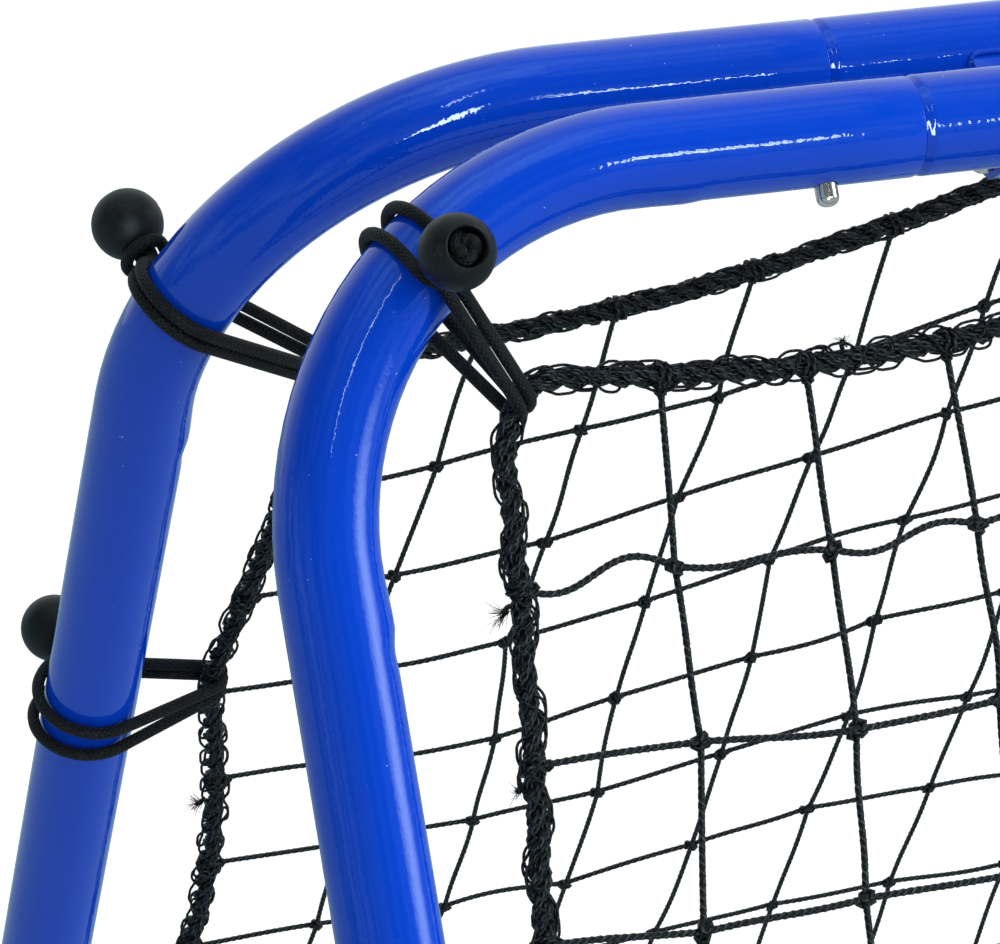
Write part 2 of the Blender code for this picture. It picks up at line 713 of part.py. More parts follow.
def build_bracket(name, sign, half_width, place, rail_parent, parent, material):
    """Bent channel: two cheeks on the bolt and a web that stops against the other bracket's web."""
    outline, along, above = bracket_outline(sign)
    bracket = make_object(name, across_mesh("bracket", outline, half_width), material, parent, place)
    inner = BRACKET_END_R + BRACKET_WEB_GAP
    far = 3 * RAIL_Y
    channel = [
        along * far + above * inner,
        above * inner - along * far,
        -above * far - along * far,
        along * far - above * far,
    ]
    inside = across_mesh("channel", channel, half_width - BRACKET_PLATE)
    cutters = [make_object(f"channel_{name}", inside, None, parent, place)]
    hole = [(0, -far), (BOLT_HOLE_D / 2, -far), (BOLT_HOLE_D / 2, far), (0, far)]
    bore = turned_mesh("bore", hole, 12)
    cutters.append(make_object(f"bore_{name}", bore, None, parent, place, (0, math.pi / 2, 0)))
    outward = Vector((0, 0, 1))
    saddle_r = TUBE_R + TOUCH
    bm = bmesh.new()
    rings = [
        add_ring(bm, Vector((x, 0, 0)), outward, PLANE_NORMAL, saddle_r, TUBE_SIDES, -LEAN)
        for x in (-SEAM_X, SEAM_X)
    ]
    join_rings(bm, *rings)
    for ring in rings:
        bm.faces.new(ring)
    saddle = finish_mesh("saddle", bm)
    cutters.append(make_object(f"saddle_{name}", saddle, None, rail_parent, (0, 0, 0)))
    for cutter in cutters:
        hide_cutter(cutter)
        cut(bracket, cutter)
    return bracket


def hex_ring(bm, x, radius, sides=6):
    ring = []
    for i in range(sides):
        angle = 2 * math.pi * i / sides
        ring.append(bm.verts.new((x, radius * math.cos(angle), radius * math.sin(angle))))
    return ring


def face_hex_to_round(bm, hexagon, ring):
    """Flat face between a hexagon and a ring of twice as many points inside it."""
    count = len(hexagon)
    for i in range(count):
        after = hexagon[(i + 1) % count]
        middle = ring[2 * i + 1]
        bm.faces.new((hexagon[i], ring[2 * i], middle))
        bm.faces.new((hexagon[i], middle, after))
        bm.faces.new((after, middle, ring[(2 * i + 2) % len(ring)]))


def bolt_mesh(name, grip):
    """Hexagon head at -X, shank through both brackets to just past the nut."""
    bm = bmesh.new()
    head = [hex_ring(bm, x, HEX_ACROSS_CORNERS / 2) for x in (-grip - BOLT_HEAD_H, -grip)]
    end = grip + NUT_H + BOLT_PROUD
    shank = [hex_ring(bm, x, BOLT_D / 2, 12) for x in (-grip, end)]
    join_rings(bm, *head)
    join_rings(bm, *shank)
    bm.faces.new(head[0])
    bm.faces.new(shank[1])
    face_hex_to_round(bm, head[1], shank[0])
    bmesh.ops.triangulate(bm, faces=[f for f in bm.faces if len(f.verts) > 4])
    return finish_mesh(name, bm, smooth=False)


def nut_mesh(name, seat):
    bm = bmesh.new()
    outer = [hex_ring(bm, x, HEX_ACROSS_CORNERS / 2) for x in (seat, seat + NUT_H - 2 * TOUCH)]
    bore = [hex_ring(bm, x, BOLT_HOLE_D / 2, 12) for x in (seat, seat + NUT_H - 2 * TOUCH)]
    join_rings(bm, *outer)
    join_rings(bm, *bore)
    for outside, inside in zip(outer, bore):
        face_hex_to_round(bm, outside, inside)
    return finish_mesh(name, bm, smooth=False)


def build_hinges(fold_axis, front, rear, materials):
    for side, word in ((-1, "left"), (1, "right")):
        x = side * HINGE_X
        place = (x, 0, PIVOT_Z)
        paint = materials["paint"]
        grip = BRACKET_HALF_WIDTH + TOUCH
        front_half = BRACKET_HALF_WIDTH
        rear_half = front_half - BRACKET_PLATE - TOUCH
        build_bracket(f"hinge_bracket_front_{word}", -1, front_half, (x, 0, 0), front, fold_axis, paint)
        build_bracket(f"hinge_bracket_rear_{word}", 1, rear_half, place, rear, None, paint)
        turn = (0, 0, 0 if side < 0 else math.pi)
        make_object(f"hinge_bolt_{word}", bolt_mesh("bolt", grip), materials["steel"], None, place, turn)
        make_object(f"hinge_nut_{word}", nut_mesh("nut", grip), materials["steel"], None, place, turn)


def main():
    clear_scene()
    materials = make_materials()
    fold_axis = make_empty("fold_axis", (0, 0, PIVOT_Z))
    rear = make_empty("rear_frame", (0, RAIL_Y, RAIL_Z), (LEAN, 0, 0))
    front = make_empty("front_frame", (0, -RAIL_Y, RAIL_Z - PIVOT_Z), (LEAN, 0, math.pi), fold_axis)
    build_panel(rear, "rear", materials)
    build_panel(front, "front", materials)
    build_hinges(fold_axis, front, rear, materials)


main()
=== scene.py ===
"""Dresses the double-sided soccer rebounder: painted tubes, border ropes, knotted nets, ball bungees."""

import math
import random

import bpy
import numpy as np
from mathutils import Matrix, Vector


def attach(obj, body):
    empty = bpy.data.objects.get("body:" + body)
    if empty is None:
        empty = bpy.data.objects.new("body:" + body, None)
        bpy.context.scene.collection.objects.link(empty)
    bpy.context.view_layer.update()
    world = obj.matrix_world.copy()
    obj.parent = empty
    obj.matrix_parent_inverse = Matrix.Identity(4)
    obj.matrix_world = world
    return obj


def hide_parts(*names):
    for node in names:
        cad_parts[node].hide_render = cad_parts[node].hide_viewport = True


bl_info = {
    "name": "Soccer rebounder",
    "version": (1, 0, 0),
    "blender": (4, 5, 0),
    "location": "View3D > Sidebar > Rebounder",
    "description": "Painted tube frames, knotted nets and ball bungees on the packed rebounder",
    "category": "Add Mesh",
}

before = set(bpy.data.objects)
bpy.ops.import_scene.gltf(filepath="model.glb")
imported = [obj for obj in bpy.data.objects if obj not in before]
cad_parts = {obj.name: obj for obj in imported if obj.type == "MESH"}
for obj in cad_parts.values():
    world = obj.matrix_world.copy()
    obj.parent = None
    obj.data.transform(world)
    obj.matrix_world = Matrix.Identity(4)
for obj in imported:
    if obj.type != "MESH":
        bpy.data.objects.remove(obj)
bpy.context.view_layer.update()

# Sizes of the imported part, in metres
FRAME_WIDTH = 1.219
FRAME_SLANT = 0.965
LEAN = math.radians(28.0)
RAIL_SPACING = 0.0854
TUBE_R = 0.019
TUBE_WALL = 0.0015
TUBE_SIDES = 12
CORNER_R = 0.1415
CORNER_LEG = 0.108
TOUCH = 0.0003
SPIGOT_LENGTH = 0.060
SHOULDER_LENGTH = 0.004
BUTTON_D = 0.0086
BUTTON_HOLE_D = 0.0094
BUTTON_REACH = 0.0078
BUTTON_FLANGE_D = 0.0116
BUTTON_FLANGE_H = 0.002
BUTTON_FROM_SEAM = 0.036
HINGE_FROM_SEAM = 0.067
HINGE_DROP = 0.028
BRACKET_PLATE = 0.003
BRACKET_HALF_WIDTH = 0.0118
BOLT_D = 0.008
HEX_ACROSS_CORNERS = 0.015
BOLT_HEAD_H = 0.0053
NUT_H = 0.008
BOLT_PROUD = 0.002
CELLS_ACROSS = 18
CELLS_DOWN = 12
NET_CORNER_IN = 0.0795
NET_CORNER_DOWN = 0.082
LOW_CORNER_DOWN = 0.139
LOW_CORNER_ROW = 0.212
HIGH_CORNER_ROW = 0.1515
TIE_REACH = 0.050
TOP_TIE_X = 0.185
UPPER_TIE_DOWN = 0.3185
LOWER_TIE_DOWN = 0.600
OUTER_SAG = 0.019
MIDDLE_SAG = 0.026
POST_SAG = 0.018
POST_END_SAG = 0.003
ROPE_CORNER_R = 0.016
CORD_R = 0.0025
CORD_GAP = 0.0005
BALL_R = 0.014
BALL_BORE_R = 0.0058
BALL_MOUTH_R = 0.00825
BALL_MOUTH_DEPTH = 0.008
CORNER_TIE_ANGLE = math.radians(51.0)
LOW_TIE_ANGLE = math.radians(22.0)

WELD = 1e-6
BORE_R = TUBE_R - TUBE_WALL
SPIGOT_R = BORE_R - TOUCH
POST_X = FRAME_WIDTH / 2 - TUBE_R
SLANT = FRAME_SLANT - 2 * TUBE_R
SEAM_X = POST_X - CORNER_R - CORNER_LEG
HINGE_X = SEAM_X - HINGE_FROM_SEAM
RAIL_Y = RAIL_SPACING / 2
RAIL_Z = SLANT * math.cos(LEAN) + TUBE_R * math.cos(math.pi / TUBE_SIDES)
PIVOT_Z = RAIL_Z - HINGE_DROP

OUT = Vector((0, 1, 0))
SIDES = ((-1, "left"), (1, "right"))
REAR = Matrix.Translation((0, RAIL_Y, RAIL_Z)) @ Matrix.Rotation(LEAN, 4, "X")
PANELS = {"rear": REAR, "front": Matrix.Rotation(math.pi, 4, "Z") @ REAR}


class TubeSettings(bpy.types.PropertyGroup):
    paint: bpy.props.FloatVectorProperty(
        name="Paint", description="Colour of the gloss paint", subtype="COLOR", size=3, min=0, max=1,
        default=(0.0010, 0.047, 0.515),
    )
    peel: bpy.props.FloatProperty(
        name="Orange peel", description="Height of the waves in the paint", unit="LENGTH",
        default=0.00012,
    )
    seam_round: bpy.props.FloatProperty(
        name="Seam rounding", description="Rounding of the cut tube ends", unit="LENGTH", default=0.0005
    )
    bend_bulge: bpy.props.FloatProperty(
        name="Bend bulge", description="Ripple where a bend runs out on its inner side", unit="LENGTH",
        default=0.0011,
    )


class TwineSettings(bpy.types.PropertyGroup):
    colour: bpy.props.FloatVectorProperty(
        name="Twine", description="Colour of the net and its border rope", subtype="COLOR", size=3,
        min=0, max=1, default=(0.0030, 0.0032, 0.0036),
    )
    twine_d: bpy.props.FloatProperty(
        name="Twine diameter", description="Net twine over its two plies", unit="LENGTH", default=0.0026
    )
    rear_share: bpy.props.FloatProperty(
        name="Rear twine share", description="The rear net's finer twine against the front one's",
        default=0.82,
    )
    twine_pitch: bpy.props.FloatProperty(
        name="Twine pitch", description="Length of one full turn of the twine", unit="LENGTH",
        default=0.0062,
    )
    rope_d: bpy.props.FloatProperty(
        name="Rope diameter", description="Border rope over its strands", unit="LENGTH", default=0.0088
    )
    rope_pitch: bpy.props.FloatProperty(
        name="Rope pitch", description="Length of one full turn of the rope", unit="LENGTH",
        default=0.027,
    )
    lacing_d: bpy.props.FloatProperty(
        name="Lacing diameter", description="Thin twine that laces the net on", unit="LENGTH",
        default=0.0012,
    )


class BungeeSettings(bpy.types.PropertyGroup):
    cord: bpy.props.FloatVectorProperty(
        name="Cord", description="Colour of the braided cord", subtype="COLOR", size=3, min=0, max=1,
        default=(0.0042, 0.0043, 0.0046),
    )
    ball: bpy.props.FloatVectorProperty(
        name="Ball", description="Colour of the balls", subtype="COLOR", size=3, min=0, max=1,
        default=(0.0062, 0.0064, 0.0074),
    )


class StudioSettings(bpy.types.PropertyGroup):
    key: bpy.props.FloatProperty(
        name="Key light", description="Tall side softbox", unit="POWER", default=33.0
    )
    top: bpy.props.FloatProperty(
        name="Top light", description="Overhead softbox", unit="POWER", default=3.0
    )
    floor: bpy.props.FloatVectorProperty(
        name="Floor", description="Colour of the floor", subtype="COLOR", size=3, min=0, max=1,
        default=(0.62, 0.62, 0.62),
    )


# Working in Blender
def deselect():
    if bpy.context.object and bpy.context.object.mode != "OBJECT":
        bpy.ops.object.mode_set(mode="OBJECT")
    bpy.ops.object.select_all(action="DESELECT")


def activate(thing):
    deselect()
    thing.select_set(True)
    bpy.context.view_layer.objects.active = thing


def edit(thing, mode="FACE"):
    activate(thing)
    bpy.ops.object.mode_set(mode="EDIT")
    bpy.ops.mesh.select_mode(type=mode)


def settle():
    """Applies the active object's transform to its mesh."""
    bpy.ops.object.transform_apply(location=True, rotation=True, scale=True)
    return bpy.context.object


def edit_all(thing, mode="FACE"):
    edit(thing, mode)
    bpy.ops.mesh.select_all(action="SELECT")


def face_outwards():
    """In edit mode, turns every face of the mesh outwards."""
    bpy.ops.mesh.select_all(action="SELECT")
    bpy.ops.mesh.normals_make_consistent(inside=False)


def add_object(name, data):
    thing = bpy.data.objects.new(name, data)
    bpy.context.scene.collection.objects.link(thing)
    return thing


def apply_modifier(thing, kind, **settings):
    activate(thing)
    modifier = thing.modifiers.new(kind, kind)
    for key, value in settings.items():
        setattr(modifier, key, value)
    bpy.ops.object.modifier_apply(modifier=modifier.name)


def cut(thing, tool, operation="DIFFERENCE"):
    """Cuts a thing with a tool, which is used up."""
    apply_modifier(thing, "BOOLEAN", operation=operation, solver="EXACT", object=tool)
    bpy.data.objects.remove(tool)


def bevel_corners(thing, width, segments, degrees):
    apply_modifier(
        thing, "BEVEL", width=width, segments=segments, limit_method="ANGLE",
        angle_limit=math.radians(degrees),
    )


def smooth(thing, degrees=40):
    activate(thing)
    bpy.ops.object.shade_smooth_by_angle(angle=math.radians(degrees))


def extrude(*move):
    bpy.ops.mesh.extrude_region_move(TRANSFORM_OT_translate={"value": move})


def turn_up(name, profile, vertices=48):
    """Turned body about Z, raised ring by ring from a filled circle; profile holds (radius, height)."""
    deselect()
    radius, height = profile[0]
    bpy.ops.mesh.primitive_circle_add(
        vertices=vertices, radius=radius, fill_type="NGON", location=(0, 0, height)
    )
    body = settle()
    body.name = name
    edit_all(body)
    for next_radius, next_height in profile[1:]:
        extrude(0, 0, next_height - height)
        ratio = next_radius / radius
        bpy.ops.transform.resize(value=(ratio, ratio, 1), center_override=(0, 0, next_height))
        radius, height = next_radius, next_height
    face_outwards()
    smooth(body)
    return body


def finish_piece(thing, name, material, body, nodes=()):
    """Names a piece that lies at the origin, gives it its finish and hangs it on its body."""
    thing.name = name
    thing.data.name = name
    thing.data.materials.clear()
    thing.data.materials.append(material)
    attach(thing, body)
    if nodes:
        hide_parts(*nodes)
    return thing


def copy_placed(base, name, matrix, material, body, nodes=()):
    """A copy of a modelled piece with its own mesh, moved to its place."""
    mesh = base.data.copy()
    mesh.transform(matrix)
    return finish_piece(add_object(name, mesh), name, material, body, nodes)


def remove(*things):
    for thing in things:
        bpy.data.objects.remove(thing)


def in_plane(x, down):
    """A point of a frame's own plane: x along the rails, down the slope from the top rail's axis."""
    return Vector((x, 0, -down))


# Swept bodies: ropes, twines and cords
def row_length(rows):
    return np.sqrt((rows * rows).sum(axis=1))[:, None]


def run_frame(points, closed, up=None):
    """Tangents and two cross directions along a run; without a given up they are carried along."""
    if closed:
        tangent = np.roll(points, -1, axis=0) - np.roll(points, 1, axis=0)
    else:
        tangent = np.gradient(points, axis=0)
    tangent /= row_length(tangent)
    if up is not None:
        first = np.tile(np.array(up, dtype=float), (len(points), 1))
        first -= tangent * (first * tangent).sum(axis=1)[:, None]
        first /= row_length(first)
        return tangent, first, np.cross(tangent, first)
    first = np.zeros_like(points)
    start = np.array((0.0, 1.0, 0.0)) if abs(tangent[0][1]) < 0.9 else np.array((1.0, 0.0, 0.0))
    carried = start - tangent[0] * start.dot(tangent[0])
    for i, direction in enumerate(tangent):
        carried = carried - direction * carried.dot(direction)
        carried /= math.sqrt(carried.dot(carried))
        first[i] = carried
    if closed:
        side = np.cross(tangent[0], first[0])
        last = first[-1] - tangent[0] * first[-1].dot(tangent[0])
        gap = math.atan2(last.dot(side), last.dot(first[0]))
        turn = -gap * np.arange(len(points)) / len(points)
        side = np.cross(tangent, first)
        first = first * np.cos(turn)[:, None] + side * np.sin(turn)[:, None]
    return tangent, first, np.cross(tangent, first)


def mapped_mesh(name, points, faces, uv):
    """Smooth object from lists of point arrays, faces and arrays for the map Run."""
    mesh = bpy.data.meshes.new(name)
    mesh.from_pydata(np.concatenate(points).tolist(), [], faces)
    layer = mesh.uv_layers.new(name="Run")
    layer.data.foreach_set("uv", np.concatenate(uv).astype(np.float32).ravel())
    mesh.shade_smooth()
    return add_object(name, mesh)


def sweep(name, runs, sides):
    """One mesh of tubes. A run holds points, radius, closed, up, lay and lobe; u goes round, v along."""
    all_points, all_faces, all_uv = [], [], []
    base = 0
    angle = 2 * math.pi * np.arange(sides) / sides
    for run in runs:
        points = np.array(run["points"], dtype=float)
        count = len(points)
        closed = run.get("closed", False)
        _, first, second = run_frame(points, closed, run.get("up"))
        radius = np.broadcast_to(np.array(run["radius"], dtype=float), (count,))
        step = np.sqrt(((np.roll(points, -1, axis=0) - points) ** 2).sum(axis=1))
        along = np.concatenate(([0.0], np.cumsum(step)))
        wave = np.cos(2 * (angle[None, :] + run.get("lay", 0.0) * along[:count, None]))
        reach = radius[:, None] * (1 + run.get("lobe", 0.0) * wave)
        ring = points[:, None, :] + (reach * np.cos(angle))[:, :, None] * first[:, None, :]
        ring += (reach * np.sin(angle))[:, :, None] * second[:, None, :]
        all_points.append(ring.reshape(-1, 3))
        rows = np.arange(count if closed else count - 1)[:, None]
        j = np.arange(sides)[None, :]
        after = (rows + 1) % count
        turned = (j + 1) % sides
        quads = np.stack(
            (rows * sides + j, rows * sides + turned, after * sides + turned, after * sides + j), axis=2
        )
        all_faces += (quads.reshape(-1, 4) + base).tolist()
        u0, v0, u1, v1 = np.broadcast_arrays(j / sides, along[rows], (j + 1) / sides, along[rows + 1])
        all_uv.append(np.stack((u0, v0, u1, v0, u1, v1, u0, v1), axis=2).reshape(-1, 2))
        if not closed:
            end = (count - 1) * sides
            all_faces.append([base + i for i in reversed(range(sides))])
            all_faces.append([base + end + i for i in range(sides)])
            all_uv.append(np.array([(i / sides, 0.0) for i in reversed(range(sides))]))
            all_uv.append(np.array([(i / sides, along[count - 1]) for i in range(sides)]))
        base += count * sides
    return mapped_mesh(name, all_points, all_faces, all_uv)


def resample(points, step):
    """Points at equal steps along a closed line."""
    points = np.array(points, dtype=float)
    points = np.vstack((points, points[:1]))
    lengths = np.concatenate(([0.0], np.cumsum(np.sqrt((np.diff(points, axis=0) ** 2).sum(axis=1)))))
    wanted = np.linspace(0, lengths[-1], round(lengths[-1] / step) + 1)[:-1]
    return np.stack([np.interp(wanted, lengths, points[:, axis]) for axis in range(3)], axis=1)


def relax(points, rounds):
    """Rounds the kinks of a closed line of equal steps."""
    for _ in range(rounds):
        points = 0.25 * np.roll(points, 1, axis=0) + 0.5 * points + 0.25 * np.roll(points, -1, axis=0)
    return points


# Materials
def start_material(name):
    """A new material, its tree and its shader."""
    material = bpy.data.materials.new(name)
    material.use_nodes = True
    return material, material.node_tree, material.node_tree.nodes["Principled BSDF"]


def feed(tree, node, values):
    """Fills inputs of a node, given by name or number, with sockets or constants."""
    for key, value in values.items():
        if isinstance(value, bpy.types.NodeSocket):
            tree.links.new(value, node.inputs[key])
        else:
            node.inputs[key].default_value = value


def add_node(tree, kind, values=None, **settings):
    node = tree.nodes.new(kind)
    for key, value in settings.items():
        setattr(node, key, value)
    feed(tree, node, values or {})
    return node


def object_place(tree):
    return add_node(tree, "ShaderNodeTexCoord").outputs["Object"]


def maths(tree, operation, *values):
    """A Math node on numbers or sockets."""
    return add_node(tree, "ShaderNodeMath", dict(enumerate(values)), operation=operation).outputs[0]


def ramp(tree, factor, stops):
    """A colour ramp; its stops hold (position, grey or colour)."""
    node = tree.nodes.new("ShaderNodeValToRGB")
    elements = node.color_ramp.elements
    while len(elements) < len(stops):
        elements.new(0.5)
    for element, (position, colour) in zip(elements, stops):
        element.position = position
        element.color = (*colour, 1.0) if isinstance(colour, tuple) else (colour, colour, colour, 1.0)
    tree.links.new(factor, node.inputs["Fac"])
    return node.outputs["Color"]


def noise_at(tree, vector, scale, detail=2.0):
    values = {"Vector": vector, "Scale": scale, "Detail": detail}
    return add_node(tree, "ShaderNodeTexNoise", values).outputs["Fac"]


def bump_into(tree, shader, height, distance, before=None):
    """Bumps the shader's normal, if one is given, on top of the bump that went before."""
    values = {"Height": height, "Strength": 1.0, "Distance": distance}
    if before:
        values["Normal"] = before
    normal = add_node(tree, "ShaderNodeBump", values).outputs["Normal"]
    if shader:
        feed(tree, shader, {"Normal": normal})
    return normal


def scaled(colour, factor):
    return tuple(min(1.0, channel * factor) for channel in colour)


def gloss_paint(name):
    """Thick gloss paint with slight waves, a few dust grains and faint cloudiness."""
    settings = bpy.context.scene.rebounder_tubes
    material, tree, shader = start_material(name)
    place = object_place(tree)
    colour = tuple(settings.paint)
    clouds = [(0.25, scaled(colour, 0.92)), (0.75, scaled(colour, 1.06))]
    grain = noise_at(tree, place, 520.0, 1.0)
    mix = add_node(tree, "ShaderNodeMix", data_type="RGBA")
    feed(tree, mix, {
        "Factor": ramp(tree, grain, [(0.80, 0.0), (0.84, 1.0)]),
        "A": ramp(tree, noise_at(tree, place, 7.0), clouds),
        "B": (0.30, 0.42, 0.80, 1.0),
    })
    waves = bump_into(tree, None, noise_at(tree, place, 34.0, 1.5), settings.peel * 3)
    fine = bump_into(tree, None, noise_at(tree, place, 420.0, 1.0), settings.peel * 0.45, before=waves)
    feed(tree, shader, {
        "Base Color": mix.outputs["Result"],
        "Roughness": 0.45,
        "Specular IOR Level": 0.0,
        "Coat Weight": 1.0,
        "Coat Roughness": 0.02,
        "Coat IOR": 1.5,
        "Coat Normal": bump_into(tree, shader, grain, 0.00001, before=fine),
    })
    return material


YARN_PITCH = 0.0095
BRAID_PITCH = 0.0024


def run_coordinates(tree):
    """The swept bodies' own map: turns round and metres along."""
    uv = add_node(tree, "ShaderNodeUVMap", uv_map="Run").outputs["UV"]
    split = add_node(tree, "ShaderNodeSeparateXYZ", {"Vector": uv})
    return split.outputs["X"], split.outputs["Y"]


def unit_wave(tree, value):
    """Sine of whole turns, moved to 0 to 1."""
    turned = maths(tree, "MULTIPLY", value, 2 * math.pi)
    return maths(tree, "MULTIPLY_ADD", maths(tree, "SINE", turned), 0.5, 0.5)


def twisted_twine(name, pitch):
    """Black filament twine: painted shade in the grooves between its two plies and short painted glints
    on their ridges.
    """
    colour = tuple(bpy.context.scene.rebounder_twines.colour)
    material, tree, shader = start_material(name)
    u, v = run_coordinates(tree)
    turned = maths(tree, "ADD", u, maths(tree, "DIVIDE", v, pitch))
    ridge = unit_wave(tree, maths(tree, "MULTIPLY", turned, 2.0))
    angle = maths(tree, "MULTIPLY", turned, 2 * math.pi)
    stretch = add_node(tree, "ShaderNodeCombineXYZ", {
        "X": maths(tree, "MULTIPLY", maths(tree, "SINE", angle), 3.0),
        "Y": maths(tree, "MULTIPLY", maths(tree, "COSINE", angle), 3.0),
        "Z": maths(tree, "MULTIPLY", v, 260.0),
    })
    streak = noise_at(tree, stretch.outputs["Vector"], 1.0, 3.0)
    lit = maths(tree, "MULTIPLY", streak, maths(tree, "POWER", ridge, 2.0))
    # Base colour: painted shade where lit is low, in the grooves, and painted glints where it is high,
    # on the ridges
    feed(tree, shader, {
        "Base Color": ramp(
            tree, lit, [(0.10, scaled(colour, 0.4)), (0.40, colour), (0.60, scaled(colour, 24.0))]
        ),
        "Roughness": ramp(tree, noise_at(tree, object_place(tree), 300.0), [(0.3, 0.30), (0.7, 0.50)]),
        "Specular IOR Level": 0.32,
    })
    bump_into(tree, shader, maths(tree, "ADD", ridge, maths(tree, "MULTIPLY", streak, 0.5)), 0.00050)
    return material


def braided_cord(name):
    """Black braided sheath: small ribs that cross at both hands, with painted highlights on the ribs and
    painted shade between them.
    """
    colour = tuple(bpy.context.scene.rebounder_bungees.cord)
    material, tree, shader = start_material(name)
    u, v = run_coordinates(tree)
    across = maths(tree, "MULTIPLY", u, 9.0)
    along = maths(tree, "DIVIDE", v, BRAID_PITCH)
    right = unit_wave(tree, maths(tree, "ADD", across, along))
    left = unit_wave(tree, maths(tree, "SUBTRACT", across, along))
    ribs = maths(tree, "MULTIPLY", right, left)
    lint = noise_at(tree, object_place(tree), 900.0)
    shade = maths(tree, "ADD", maths(tree, "MULTIPLY", ribs, 0.7), maths(tree, "MULTIPLY", lint, 0.3))
    # The pale end of these tints is painted highlight on the ribs and the dark end painted shade between
    # them; the lint adds random tone
    tints = [(0.10, scaled(colour, 0.4)), (0.45, colour), (0.95, scaled(colour, 4.0))]
    feed(tree, shader, {
        "Base Color": ramp(tree, shade, tints),
        "Roughness": 0.62,
        "Specular IOR Level": 0.24,
        "Sheen Weight": 0.03,
        "Sheen Roughness": 0.4,
    })
    bump_into(tree, shader, shade, 0.00045)
    return material


def ball_plastic(name):
    """Satin black plastic with moulding mottle and a few pale patches of painted highlight."""
    colour = tuple(bpy.context.scene.rebounder_bungees.ball)
    material, tree, shader = start_material(name)
    place = object_place(tree)
    mottle = noise_at(tree, place, 190.0, 3.0)
    painted_sheen = maths(tree, "MULTIPLY", mottle, noise_at(tree, place, 760.0))
    # The pale end of these tints is painted highlight in mottled patches, set at random over the ball
    tints = [(0.20, scaled(colour, 0.85)), (0.34, colour), (0.46, scaled(colour, 3.0))]
    feed(tree, shader, {
        "Base Color": ramp(tree, painted_sheen, tints),
        "Roughness": ramp(tree, mottle, [(0.3, 0.40), (0.7, 0.52)]),
        "Specular IOR Level": 0.26,
    })
    bump_into(tree, shader, noise_at(tree, place, 1400.0), 0.00003)
    return material


def bright_steel(name, colour, roughness):
    """Plated steel with fine turning lines."""
    material, tree, shader = start_material(name)
    place = object_place(tree)
    spots = noise_at(tree, place, 600.0, 3.0)
    feed(tree, shader, {
        "Base Color": ramp(tree, spots, [(0.3, scaled(colour, 0.88)), (0.7, colour)]),
        "Roughness": ramp(tree, spots, [(0.3, roughness), (0.75, roughness * 1.7)]),
        "Metallic": 1.0,
    })
    bump_into(tree, shader, noise_at(tree, place, 2500.0, 1.0), 0.000008)
    return material


def material_of(name, maker, *values):
    """The material of that name, made the first time it is asked for."""
    return bpy.data.materials.get(name) or maker(name, *values)


def paint():
    return material_of("gloss_blue_paint", gloss_paint)


def steel():
    return material_of("polished_steel", bright_steel, (0.98, 0.74, 0.66), 0.14)


def net_twine():
    return material_of("net_twine", twisted_twine, bpy.context.scene.rebounder_twines.twine_pitch)


def rope_twine():
    return material_of("rope_yarn", twisted_twine, YARN_PITCH)


# Tubes
TUBE_FACETS = 64
BEND_STEPS = 24
HOLE_MARGIN = 0.010
# Short steps beside a bend: their length and number on the rails' side and on the post
LEG_STEP, LEG_STEPS = 0.004, 6
POST_STEP, POST_STEPS = 0.003, 12
# Where a bend's ripple stands before the bend's end and how far it fades: a bulge, then a dip
BULGE_AT, BULGE_IN_BEND, BULGE_BEFORE = -0.017, 0.016, 0.004
DIP_AT, DIP_WIDTH = -0.027, 0.004
RAIL_SHARE = (0.6, 0.3)


def start_tube(x, z, radius):
    """A ring across the X axis, selected in edit mode, from which a tube is drawn out."""
    deselect()
    bpy.ops.mesh.primitive_circle_add(
        vertices=TUBE_FACETS, radius=radius, location=(x, 0, z), rotation=(0, math.pi / 2, 0)
    )
    tube = settle()
    edit_all(tube, "EDGE")
    return tube


def model_side_tube(side, ripple):
    """C-shaped tube, drawn from its upper seam round both corners to its lower seam."""
    tube = start_tube(side * SEAM_X, 0, TUBE_R)
    to_bend = CORNER_LEG - BUTTON_FROM_SEAM - HOLE_MARGIN - LEG_STEPS * LEG_STEP
    leg = [BUTTON_FROM_SEAM - HOLE_MARGIN, 2 * HOLE_MARGIN, to_bend] + [LEG_STEP] * LEG_STEPS
    post_end = [POST_STEP] * POST_STEPS
    middle = SLANT - 2 * CORNER_R - 2 * POST_STEPS * POST_STEP

    def bend(centre_z):
        centre = (side * (POST_X - CORNER_R), 0, centre_z)
        bpy.ops.mesh.spin(steps=BEND_STEPS, angle=math.pi / 2, center=centre, axis=(0, -side, 0))

    for step in leg:
        extrude(side * step, 0, 0)
    bend(-CORNER_R)
    for step in [*post_end, middle, *post_end]:
        extrude(0, 0, -step)
    bend(CORNER_R - SLANT)
    for step in leg[::-1]:
        extrude(-side * step, 0, 0)
    bpy.ops.mesh.select_all(action="SELECT")
    bpy.ops.mesh.remove_doubles(threshold=WELD)
    face_outwards()
    bpy.ops.object.mode_set(mode="OBJECT")
    shape_bends(tube, side, ripple)
    return tube


